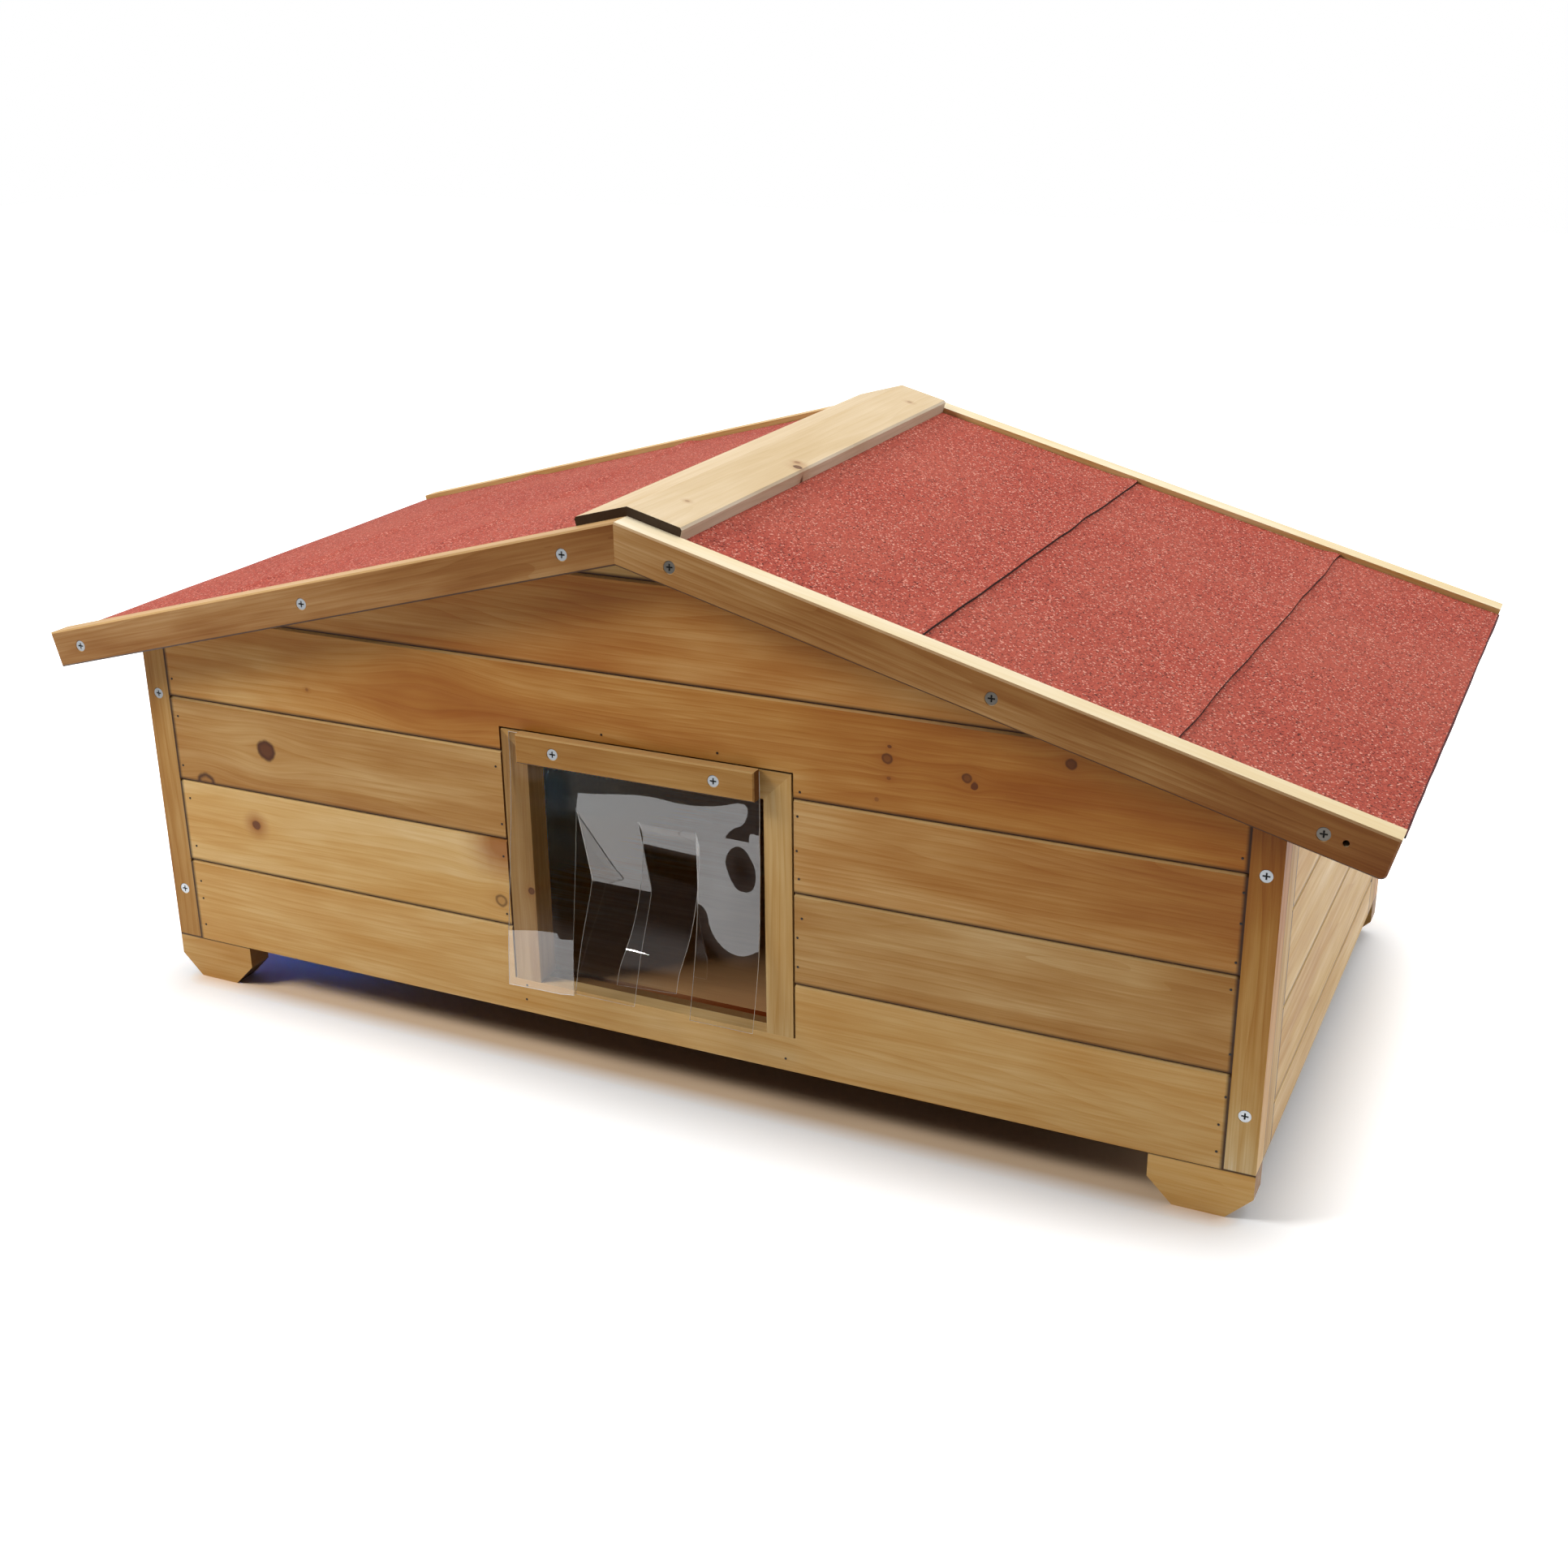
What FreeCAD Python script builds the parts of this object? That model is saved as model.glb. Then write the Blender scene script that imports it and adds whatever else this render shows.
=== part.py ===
"""A wooden cat house for outdoors: boarded walls on four feet, a doorway with a clear strip
curtain, and a felted gable roof that lifts off in one piece.

Millimetres. Z is up, X runs across the front wall and the doorway faces -Y. The origin is on
the ground, under the middle of the roof.
"""

import FreeCAD
import Part
import Sketcher

import os

doc = FreeCAD.newDocument("cat_house")
dim = doc.addObject("Spreadsheet::Sheet", "dim")
nodes = []


# Sizes

SIZES = [
    ("house_width", "850", "across the front, over the corner posts"),
    ("house_depth", "456", "front wall face to rear wall face"),
    ("wall_base", "34", "underside of the walls, and the height of the feet"),
    ("course", "67", "height of one wall board"),
    ("rail_height", "10.8", "outer height of the eaves rail on the side wall"),
    ("peak_rise", "20.7", "height of the small board at the top of a gable"),
    ("board_thick", "12", "wall board"),
    ("groove_bevel", "1.5", "bevel along each board joint"),
    ("post_face", "20", "visible width of a corner post"),
    ("post_thick", "20", "a post, seen from above"),
    ("post_rebate", "22", "length of the tongue that the front boards are nailed to"),
    ("side_post_face", "22", "width of the side post on the side wall"),
    ("side_post_rebate", "20", "length of the tongue that the side boards are nailed to"),
    ("roof_pitch", "15 deg", "slope of the roof"),
    ("roof_play", "6", "between a wall and the fascia in front of it"),
    ("eaves_reach", "65.7", "how far the roof passes a side wall"),
    ("fascia_height", "27", "square to the slope"),
    ("fascia_thick", "18", "fascia board"),
    ("fascia_bevel", "1.2", "broken edge of a fascia"),
    ("fascia_corner", "4", "worn lower corner of the right front fascia"),
    ("felt_drop", "4", "felt surface under the top of the fascias"),
    ("felt_thick", "2", "one layer of felt"),
    ("felt_overhang", "1", "how far the felt passes the ends of the fascias"),
    ("felt_seam_upper", "206", "upper seam, along the slope from the ridge line"),
    ("felt_seam_lower", "372", "lower seam"),
    ("felt_gap", "1", "width of the line between two courses"),
    ("deck_thick", "16", "roof deck board"),
    ("deck_inset", "3", "how far the deck stops short of the ends of the fascias"),
    ("ridge_width", "39", "one ridge board"),
    ("ridge_thick", "10", "ridge board"),
    ("ridge_bevel", "1.5", "broken edge of a ridge board"),
    ("frame_half", "110", "half the outer width of the door frame"),
    ("frame_bar", "20", "width of a jamb and of the head"),
    ("frame_height", "192", "door frame, above the sill"),
    ("frame_depth", "20", "jamb, front to back"),
    ("frame_gap", "1.5", "gap between the frame and the boards round it"),
    ("sill_rise", "26", "height of the lowest board under the doorway"),
    ("batten", "20", "width and depth of the laths behind the boards"),
    ("lath_clear", "3.5", "between the upright laths and the roof deck"),
    ("sheet_left", "103.5", "left edge of the curtain, left of the middle"),
    ("slit_left", "52", "first cut, left of the middle"),
    ("slit_middle", "4", "second cut, left of the middle"),
    ("slit_right", "39.5", "third cut, right of the middle"),
    ("sheet_right", "87.5", "right edge of the curtain, right of the middle"),
    ("sheet_tuck", "2", "how far the top of the curtain lies under the top of the clamp strip"),
    ("sheet_thick", "1", "clear sheet"),
    ("strip_lift", "3", "between the sill and the strips"),
    ("strip_clear", "0.3", "between a strip and the frame behind it"),
    ("slit_width", "0.6", "gap between two strips"),
    ("slit_drop", "32", "top of the slits, where a strip starts to bend, under the head"),
    ("hinge_gap", "1", "between the strips and the uncut part of the sheet"),
    ("clamp_shift", "3", "middle of the clamp strip, left of the middle"),
    ("clamp_length", "181", "clamp strip"),
    ("clamp_height", "21", "clamp strip"),
    ("clamp_thick", "8", "clamp strip"),
    ("clamp_bevel", "1", "broken edge of the clamp strip"),
    ("foot_width", "68", "foot"),
    ("foot_thick", "20", "foot, front to back"),
    ("foot_chamfer", "17", "cut across the lower corners of a foot"),
    ("cleat_width", "30", "laths that the floor rests on"),
    ("cleat_height", "12", "laths that the floor rests on"),
    ("floor_thick", "10", "floor panel"),
    ("floor_clear", "0.5", "between the floor panel and what stands round it"),
    ("head_width", "8", "screw head"),
    ("head_drop", "0.3", "screw heads sit this far below the wood"),
    ("shank_width", "3.5", "screw shank"),
    ("hole_width", "4", "hole for a shank"),
    ("sink_clear", "0.1", "between a screw head and its countersink, on the radius"),
    ("screw_length", "38", "screws of the posts and fascias"),
    ("screw_short", "24", "screws of the clamp strip"),
    ("cross_width", "1.1", "slot of the cross recess"),
    ("cross_span", "4.6", "cross recess, tip to tip"),
    ("cross_depth", "1.4", "cross recess"),
    ("bore_extra", "1", "how far a hole is bored past a screw or a board"),
    ("post_screw_first", "40.5", "lower screw of a post, above the underside of the wall"),
    ("post_screw_second", "202", "upper screw of a post"),
    ("clamp_screw_inset", "29.5", "clamp screw, from the end of the strip"),
    ("fascia_screw_upper", "44", "fascia screws, along the slope from the ridge line"),
    ("fascia_screw_middle", "264", "second screw of a fascia"),
    ("fascia_end_gap", "26", "last screw of a fascia, from its end"),
    ("fascia_inner_gap", "40", "last screw of the right front fascia, from its end"),
    ("spare_hole_gap", "27", "empty hole of the right front fascia, from its end"),
]

# Places that follow from the sizes

PLACES = [
    ("half_width", "house_width / 2"),
    ("front", "- house_depth / 2"),
    ("post_inner", "half_width - post_face"),
    ("tongue_inner", "post_inner - post_rebate"),
    ("board_back", "front + board_thick"),
    ("post_back", "front + post_thick"),
    ("side_board_end", "post_back + side_post_face"),
    ("side_post_back", "side_board_end + side_post_rebate"),
    ("side_board_inner", "half_width - board_thick"),
    ("slope_rise", "tan( roof_pitch )"),
    ("slope_stretch", "1 / cos( roof_pitch )"),
    ("head_depth", "( head_width - shank_width ) / 2"),
    ("sink_width", "head_width + 2 * head_drop + 2 * sink_clear"),
    ("deck_top_drop", "felt_drop + felt_thick"),
    ("deck_under_drop", "deck_top_drop + deck_thick"),
    ("joint_first", "wall_base + course"),
    ("joint_second", "joint_first + course"),
    ("joint_third", "joint_second + course"),
    ("joint_fourth", "joint_third + course"),
    ("joint_fifth", "joint_fourth + course"),
    ("wall_peak", "joint_fifth + peak_rise"),
    ("roof_peak", "wall_peak + deck_under_drop * slope_stretch"),
    ("reach_fourth", "( wall_peak - joint_fourth ) / slope_rise"),
    ("reach_fifth", "( wall_peak - joint_fifth ) / slope_rise"),
    ("wall_top_inner", "wall_peak - post_inner * slope_rise"),
    ("wall_top_outer", "wall_peak - half_width * slope_rise"),
    ("rail_top_inner", "wall_peak - side_board_inner * slope_rise"),
    ("side_joint_fourth", "wall_top_outer - rail_height"),
    ("side_joint_third", "side_joint_fourth - course"),
    ("side_joint_second", "side_joint_third - course"),
    ("side_joint_first", "side_joint_second - course"),
    ("cut_top", "wall_peak + board_thick"),
    ("sill_height", "wall_base + sill_rise"),
    ("frame_top", "sill_height + frame_height"),
    ("notch_half", "frame_half + frame_gap"),
    ("notch_top", "frame_top + frame_gap"),
    ("frame_inner", "frame_half - frame_bar"),
    ("head_bottom", "frame_top - frame_bar"),
    ("frame_back", "front + frame_depth"),
    ("deck_front", "front - roof_play"),
    ("roof_front", "deck_front - fascia_thick"),
    ("fascia_length", "( half_width + eaves_reach ) * slope_stretch"),
    ("deck_length", "fascia_length - deck_inset"),
    ("felt_length", "fascia_length + felt_overhang"),
    ("cleat_top", "wall_base + cleat_height"),
    ("floor_top", "cleat_top + floor_thick"),
    ("batten_back", "board_back + batten"),
    ("stud_top", "wall_peak - ( frame_half + batten ) * slope_rise - lath_clear"),
    ("king_top", "wall_peak - batten / 2 * slope_rise - lath_clear"),
    ("sheet_front", "front - sheet_thick"),
    ("sheet_bottom", "sill_height + strip_lift"),
    ("hinge_height", "head_bottom - slit_drop"),
    ("clamp_front", "sheet_front - clamp_thick"),
    ("clamp_top", "head_bottom + clamp_height"),
    ("sheet_top", "clamp_top - sheet_tuck"),
    ("clamp_left", "- clamp_shift - clamp_length / 2"),
    ("clamp_right", "- clamp_shift + clamp_length / 2"),
    ("clamp_screw_height", "head_bottom + clamp_height / 2"),
    ("clamp_screw_left", "clamp_left + clamp_screw_inset"),
    ("clamp_screw_right", "clamp_right - clamp_screw_inset"),
    ("post_screw_across", "half_width - post_face / 2"),
    ("post_screw_low", "wall_base + post_screw_first"),
    ("post_screw_high", "wall_base + post_screw_second"),
    ("fascia_screw_drop", "deck_top_drop + deck_thick / 2"),
    ("fascia_screw_lower", "fascia_length - fascia_end_gap"),
    ("fascia_screw_inner", "fascia_length - fascia_inner_gap"),
    ("spare_hole", "fascia_length - spare_hole_gap"),
]


def sheet_text(text):
    """Turns spaced words and signs into an expression on the sheet."""
    calls = ("tan(", "cos(")
    words = [w if w in calls or not w[0].isalpha() else "dim." + w for w in text.split()]
    return " ".join(words)


def value(text):
    """The number that a spaced expression stands for, in mm."""
    found = dim.evalExpression(sheet_text(text))
    return float(getattr(found, "Value", found))


def fill_sheet():
    """Writes the sizes, their notes and the places worked out from them."""
    for row, (alias, size, note) in enumerate(SIZES, start=1):
        dim.set(f"A{row}", note)
        dim.set(f"B{row}", "=" + size if "deg" in size else size)
        dim.setAlias(f"B{row}", alias)
    for row, (alias, text) in enumerate(PLACES, start=len(SIZES) + 2):
        dim.set(f"A{row}", "worked out")
        dim.set(f"B{row}", "=" + text)
        dim.setAlias(f"B{row}", alias)
    doc.recompute()


fill_sheet()


# Building steps

def bind(item, setting, text):
    """Ties one setting of an object to the sheet."""
    item.setExpression(setting, sheet_text(text))


def new_body(label):
    """A body that becomes one piece."""
    part = doc.addObject("PartDesign::Body", label)
    part.Label = label
    return part


def keep(item, label):
    """Lists an object as one piece of the house."""
    item.Label = label
    nodes.append(item)
    return item


def new_sketch(part, plane, offset):
    """A sketch on one of the body's own planes, moved along the plane's normal."""
    sketch = doc.addObject("Sketcher::SketchObject", part.Name + "_sketch")
    part.addObject(sketch)
    origin_plane = [f for f in part.Origin.OriginFeatures if f.Role == plane][0]
    sketch.AttachmentSupport = [(origin_plane, "")]
    sketch.MapMode = "FlatFace"
    bind(sketch, "AttachmentOffset.Base.z", offset)
    return sketch


def add_outline(sketch, corners):
    """A closed outline of straight lines, with every corner tied to the sheet."""
    spots = [FreeCAD.Vector(value(x), value(y), 0) for x, y in corners]
    count = len(spots)
    first = sketch.GeometryCount
    lines = [Part.LineSegment(spots[i], spots[(i + 1) % count]) for i in range(count)]
    sketch.addGeometry(lines, False)
    for i, (x, y) in enumerate(corners):
        line = first + i
        before = first + (i - 1) % count
        sketch.addConstraint(Sketcher.Constraint("Coincident", before, 2, line, 1))
        for kind, spot, text in (("DistanceX", spots[i].x, x), ("DistanceY", spots[i].y, y)):
            rule = sketch.addConstraint(Sketcher.Constraint(kind, -1, 1, line, 1, spot))
            bind(sketch, f"Constraints[{rule}]", text)


def add_circles(sketch, centres, width):
    """Circles of one width, with their centres tied to the sheet."""
    for x, y in centres:
        spot = FreeCAD.Vector(value(x), value(y), 0)
        radius = value(width) / 2
        ring = sketch.addGeometry(Part.Circle(spot, FreeCAD.Vector(0, 0, 1), radius), False)
        for kind, size, text in (("DistanceX", spot.x, x), ("DistanceY", spot.y, y)):
            rule = sketch.addConstraint(Sketcher.Constraint(kind, -1, 1, ring, 3, size))
            bind(sketch, f"Constraints[{rule}]", text)
        rule = sketch.addConstraint(Sketcher.Constraint("Diameter", ring, radius * 2))
        bind(sketch, f"Constraints[{rule}]", width)


def pad(part, plane, offset, corners, depth, reverse=False):
    """Pads an outline that stands on a plane of the body."""
    sketch = new_sketch(part, plane, offset)
    add_outline(sketch, corners)
    feature = doc.addObject("PartDesign::Pad", part.Name + "_pad")
    part.addObject(feature)
    feature.Profile = sketch
    feature.Reversed = reverse
    bind(feature, "Length", depth)
    part.Tip = feature
    doc.recompute()
    return feature


def cut_away(part, plane, offset, corners, depth, reverse=False):
    """Pockets an outline out of a body, and makes sure that wood goes."""
    before = part.Shape.Volume
    sketch = new_sketch(part, plane, offset)
    add_outline(sketch, corners)
    feature = doc.addObject("PartDesign::Pocket", part.Name + "_pocket")
    part.addObject(feature)
    feature.Profile = sketch
    feature.Reversed = reverse
    bind(feature, "Length", depth)
    part.Tip = feature
    doc.recompute()
    check_smaller(part, before)
    return feature


def bore(part, offset, centres, width, depth, sink=None):
    """Bores holes along Y, backwards from the given plane, with a countersink if asked."""
    before = part.Shape.Volume
    sketch = new_sketch(part, "XZ_Plane", offset)
    add_circles(sketch, centres, width)
    feature = doc.addObject("PartDesign::Hole", part.Name + "_hole")
    part.addObject(feature)
    feature.Profile = sketch
    doc.recompute()
    feature.ThreadType = "None"
    feature.DepthType = "Dimension"
    feature.DrillPoint = "Flat"
    bind(feature, "Diameter", width)
    bind(feature, "Depth", depth)
    if sink:
        feature.HoleCutType = "Countersink"
        feature.HoleCutCountersinkAngle = 90
        bind(feature, "HoleCutDiameter", sink)
    part.Tip = feature
    doc.recompute()
    check_smaller(part, before)
    return feature


def check_smaller(part, before):
    """Stops the build if a cut took nothing away."""
    if part.Shape.Volume >= before:
        raise RuntimeError(part.Label + ": the cut missed")


def trim_edges(part, kind, size, wanted):
    """Bevels or rounds the edges of the body's last shape that the test picks by their ends."""
    last = part.Tip
    names = []
    for number, edge in enumerate(last.Shape.Edges, start=1):
        ends = [vertex.Point for vertex in edge.Vertexes]
        if len(ends) == 2 and wanted(*ends):
            names.append(f"Edge{number}")
    feature = doc.addObject("PartDesign::" + kind, part.Name + "_edge")
    part.addObject(feature)
    feature.Base = (last, names)
    bind(feature, "Size" if kind == "Chamfer" else "Radius", size)
    part.Tip = feature
    doc.recompute()
    return feature


def bevel(part, size, wanted):
    """Bevels the picked edges."""
    return trim_edges(part, "Chamfer", size, wanted)


def near(a, b):
    """True where two lengths are the same to a hundredth."""
    return abs(a - b) < 0.01


def box(label, low, size):
    """A plain box with its lowest corner and its three sizes tied to the sheet."""
    item = doc.addObject("Part::Box", label)
    for axis, text in zip("xyz", low):
        bind(item, "Placement.Base." + axis, text)
    for side, text in zip(("Length", "Width", "Height"), size):
        bind(item, side, text)
    return item


def mirror(item, label, normal):
    """The same piece on the other side of the house."""
    twin = doc.addObject("Part::Mirroring", label)
    twin.Source = item
    twin.Normal = FreeCAD.Vector(*normal)
    twin.Label = label
    return twin


def gather(label, items):
    """Several small pieces of one kind as one node."""
    group = doc.addObject("Part::Compound", label)
    group.Links = items
    return keep(group, label)


ACROSS = (1, 0, 0)
ALONG = (0, 1, 0)


# Wall boards of the front and the rear
# Each board stands on the one below, and its joints are bevelled on the outside.

def wall_board(label, corners, joints):
    """One board of a wall that faces forward, cut to an outline seen from the front."""
    part = new_body(label)
    pad(part, "XZ_Plane", "- front", corners, "board_thick", reverse=True)
    face = value("front")
    heights = [value(joint) for joint in joints]

    def on_joint(a, b):
        level = near(a.z, b.z) and any(near(a.z, height) for height in heights)
        return level and near(a.y, face) and near(b.y, face)

    bevel(part, "groove_bevel", on_joint)
    return part


def plain_course(left, right, low, high):
    """Corners of a board with square ends."""
    return [(left, low), (right, low), (right, high), (left, high)]


def notched_low():
    """Corners of the lowest front board, which is cut down to the sill at the doorway."""
    return [
        ("- post_inner", "wall_base"), ("post_inner", "wall_base"),
        ("post_inner", "joint_first"), ("notch_half", "joint_first"),
        ("notch_half", "sill_height"), ("- notch_half", "sill_height"),
        ("- notch_half", "joint_first"), ("- post_inner", "joint_first"),
    ]


def eaves_outline(low):
    """Corners of the fourth board, whose top corners follow the roof."""
    return low + [
        ("post_inner", "joint_third"), ("post_inner", "wall_top_inner"),
        ("reach_fourth", "joint_fourth"), ("- reach_fourth", "joint_fourth"),
        ("- post_inner", "wall_top_inner"), ("- post_inner", "joint_third"),
    ]


door_notch = [
    ("- notch_half", "joint_third"), ("- notch_half", "notch_top"),
    ("notch_half", "notch_top"), ("notch_half", "joint_third"),
]
gable_outline = [
    ("- reach_fourth", "joint_fourth"), ("reach_fourth", "joint_fourth"),
    ("reach_fifth", "joint_fifth"), ("- reach_fifth", "joint_fifth"),
]
peak_outline = [
    ("- reach_fifth", "joint_fifth"), ("reach_fifth", "joint_fifth"), ("0", "wall_peak"),
]

keep(wall_board("front_board_1", notched_low(), ["joint_first"]), "front_board_1")
for name, low, high in (("front_board_2", "joint_first", "joint_second"),
                        ("front_board_3", "joint_second", "joint_third")):
    left_corners = plain_course("- post_inner", "- notch_half", low, high)
    right_corners = plain_course("notch_half", "post_inner", low, high)
    keep(wall_board(name + "_left", left_corners, [low, high]), name + "_left")
    keep(wall_board(name + "_right", right_corners, [low, high]), name + "_right")
keep(wall_board("front_board_4", eaves_outline(door_notch), ["joint_third", "joint_fourth"]),
     "front_board_4")
gable = wall_board("front_gable_board", gable_outline, ["joint_fourth", "joint_fifth"])
keep(gable, "front_gable_board")
peak = wall_board("front_gable_peak", peak_outline, ["joint_fifth"])
keep(peak, "front_gable_peak")

rear_outlines = [
    (plain_course("- post_inner", "post_inner", "wall_base", "joint_first"), ["joint_first"]),
    (plain_course("- post_inner", "post_inner", "joint_first", "joint_second"),
     ["joint_first", "joint_second"]),
    (plain_course("- post_inner", "post_inner", "joint_second", "joint_third"),
     ["joint_second", "joint_third"]),
    (eaves_outline([]), ["joint_third", "joint_fourth"]),
]
for number, (corners, joints) in enumerate(rear_outlines, start=1):
    pattern = wall_board(f"rear_pattern_{number}", corners, joints)
    keep(mirror(pattern, f"rear_board_{number}", ALONG), f"rear_board_{number}")
keep(mirror(gable, "rear_gable_board", ALONG), "rear_gable_board")
keep(mirror(peak, "rear_gable_peak", ALONG), "rear_gable_peak")


# Corner posts
# A front post shows a narrow face and hides a tongue behind the board ends. A side post
# stands behind it, flush with the side boards.

roof_cut_right = [
    ("tongue_inner - post_face", "wall_peak - ( tongue_inner - post_face ) * slope_rise"),
    ("half_width + post_face", "wall_peak - ( half_width + post_face ) * slope_rise"),
    ("half_width + post_face", "cut_top"),
    ("tongue_inner - post_face", "cut_top"),
]

post = new_body("front_post_right")
pad(post, "XY_Plane", "wall_base", [
    ("post_inner", "front"), ("half_width", "front"), ("half_width", "post_back"),
    ("tongue_inner", "post_back"), ("tongue_inner", "board_back"), ("post_inner", "board_back"),
], "cut_top - wall_base")
cut_away(post, "XZ_Plane", "- front + post_thick", roof_cut_right, "house_depth")
post_screws = [("post_screw_across", "post_screw_low"), ("post_screw_across", "post_screw_high")]
bore(post, "- front", post_screws, "hole_width", "post_thick + bore_extra", "sink_width")
keep(post, "front_post_right")
keep(mirror(post, "front_post_left", ACROSS), "front_post_left")
keep(mirror(post, "rear_post_right", ALONG), "rear_post_right")
keep(mirror(nodes[-2], "rear_post_left", ALONG), "rear_post_left")

side_post = new_body("side_post")
pad(side_post, "XY_Plane", "wall_base", [
    ("post_inner", "post_back"), ("half_width", "post_back"), ("half_width", "side_board_end"),
    ("side_board_inner", "side_board_end"), ("side_board_inner", "side_post_back"),
    ("post_inner", "side_post_back"),
], "cut_top - wall_base")
cut_away(side_post, "XZ_Plane", "- front + post_thick", roof_cut_right, "house_depth")
bore(side_post, "- post_back", post_screws, "hole_width", "screw_length - post_thick + bore_extra")
side_post_left = mirror(side_post, "side_post_left", ACROSS)
gather("side_posts", [
    side_post, side_post_left, mirror(side_post, "side_post_rear", ALONG),
    mirror(side_post_left, "side_post_rear_left", ALONG),
])


# Side walls
# Three full courses over a ripped board, and a thin rail under the roof.

def side_board(label, low, high, joints, rail=False):
    """One board of the right side wall, seen along X."""
    part = new_body(label)
    pad(part, "XZ_Plane", "- side_board_end", [
        ("side_board_inner", low), ("half_width", low), ("half_width", high),
        ("side_board_inner", "rail_top_inner" if rail else high),
    ], "- 2 * side_board_end", reverse=True)
    face = value("half_width")
    heights = [value(joint) for joint in joints]

    def on_joint(a, b):
        level = near(a.z, b.z) and any(near(a.z, height) for height in heights)
        return level and near(a.x, face) and near(b.x, face)

    bevel(part, "groove_bevel", on_joint)
    return part


side_courses = [
    ("side_board_1", "wall_base", "side_joint_first", ["side_joint_first"], False),
    ("side_board_2", "side_joint_first", "side_joint_second",
     ["side_joint_first", "side_joint_second"], False),
    ("side_board_3", "side_joint_second", "side_joint_third",
     ["side_joint_second", "side_joint_third"], False),
    ("side_board_4", "side_joint_third", "side_joint_fourth",
     ["side_joint_third", "side_joint_fourth"], False),
    ("eaves_rail", "side_joint_fourth", "wall_top_outer", ["side_joint_fourth"], True),
]
rails = []
for name, low, high, joints, is_rail in side_courses:
    right = side_board("right_" + name, low, high, joints, is_rail)
    left = mirror(right, "left_" + name, ACROSS)
    if is_rail:
        rails = [right, left]
    else:
        keep(right, "right_" + name)
        keep(left, "left_" + name)


# Door frame
# Two jambs and a head, mitred, set flush with the boards. The notch in the boards leaves a
# thin gap round them.

jamb = new_body("door_jamb_right")
pad(jamb, "XZ_Plane", "- front", [
    ("frame_inner", "sill_height"), ("frame_half", "sill_height"),
    ("frame_half", "frame_top"), ("frame_inner", "head_bottom"),
], "frame_depth", reverse=True)
keep(jamb, "door_jamb_right")
keep(mirror(jamb, "door_jamb_left", ACROSS), "door_jamb_left")

clamp_screws = [
    ("clamp_screw_left", "clamp_screw_height"), ("clamp_screw_right", "clamp_screw_height"),
]
head = new_body("door_head")
pad(head, "XZ_Plane", "- front", [
    ("- frame_inner", "head_bottom"), ("frame_inner", "head_bottom"),
    ("frame_half", "frame_top"), ("- frame_half", "frame_top"),
], "frame_depth", reverse=True)
bore(head, "- front", clamp_screws, "hole_width", "screw_short - clamp_thick")
keep(head, "door_head")


# Laths behind the boards
# Two studs, a lintel and a sill rail hold the door frame, middle laths hold the gables, and
# cleats carry the floor. The thin eaves rails belong to the same set.

def lath(label, left, width, low, height):
    """An upright or level lath against the back of the front boards."""
    return box(label, (left, "board_back", low), (width, "batten", height))


studs = [
    lath("stud_right", "frame_half", "batten", "cleat_top", "stud_top - cleat_top"),
    lath("stud_left", "- frame_half - batten", "batten", "cleat_top", "stud_top - cleat_top"),
]
king = lath("king_front", "- batten / 2", "batten", "frame_top + batten",
            "king_top - frame_top - batten")
lintel = lath("lintel", "- frame_half", "2 * frame_half", "frame_top", "batten")
sill_rail = box("sill_rail", ("- frame_half", "board_back", "cleat_top"),
                ("2 * frame_half", "frame_back - board_back", "sill_height - cleat_top"))
king_rear = mirror(lath("king_pattern", "- batten / 2", "batten", "cleat_top",
                        "king_top - cleat_top"), "king_rear", ALONG)
front_cleat = box("front_cleat", ("- tongue_inner", "board_back", "wall_base"),
                  ("2 * tongue_inner", "cleat_width", "cleat_height"))
side_cleat = box("side_cleat", ("side_board_inner - cleat_width", "side_post_back", "wall_base"),
                 ("cleat_width", "- 2 * side_post_back", "cleat_height"))
gather("inner_laths", studs + [
    mirror(studs[0], "rear_stud_right", ALONG), mirror(studs[1], "rear_stud_left", ALONG),
    king, king_rear, lintel, sill_rail,
    front_cleat, mirror(front_cleat, "rear_cleat", ALONG),
    side_cleat, mirror(side_cleat, "side_cleat_left", ACROSS),
])
gather("eaves_rails", rails)

keep(box("floor_panel",
         ("- post_inner + floor_clear", "batten_back + floor_clear", "cleat_top"),
         ("2 * ( post_inner - floor_clear )", "- 2 * ( batten_back + floor_clear )",
          "floor_thick")), "floor_panel")


# Feet

foot = new_body("foot_front_right")
pad(foot, "XZ_Plane", "- front", [
    ("half_width - foot_width + foot_chamfer", "0"), ("half_width - foot_chamfer", "0"),
    ("half_width", "foot_chamfer"), ("half_width", "wall_base"),
    ("half_width - foot_width", "wall_base"), ("half_width - foot_width", "foot_chamfer"),
], "foot_thick", reverse=True)
keep(foot, "foot_front_right")
keep(mirror(foot, "foot_front_left", ACROSS), "foot_front_left")
keep(mirror(foot, "foot_rear_right", ALONG), "foot_rear_right")
keep(mirror(nodes[-2], "foot_rear_left", ALONG), "foot_rear_left")


# Strip curtain
# One clear sheet hangs in front of the frame under a clamp strip. Three slits cut it into
# four strips, and the strips start just below the uncut header.

header = new_body("curtain_header")
pad(header, "XZ_Plane", "- sheet_front",
    plain_course("- sheet_left", "sheet_right", "hinge_height + hinge_gap", "sheet_top"),
    "sheet_thick", reverse=True)
bore(header, "- sheet_front", clamp_screws, "hole_width", "sheet_thick + bore_extra")
keep(header, "curtain_header")

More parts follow.
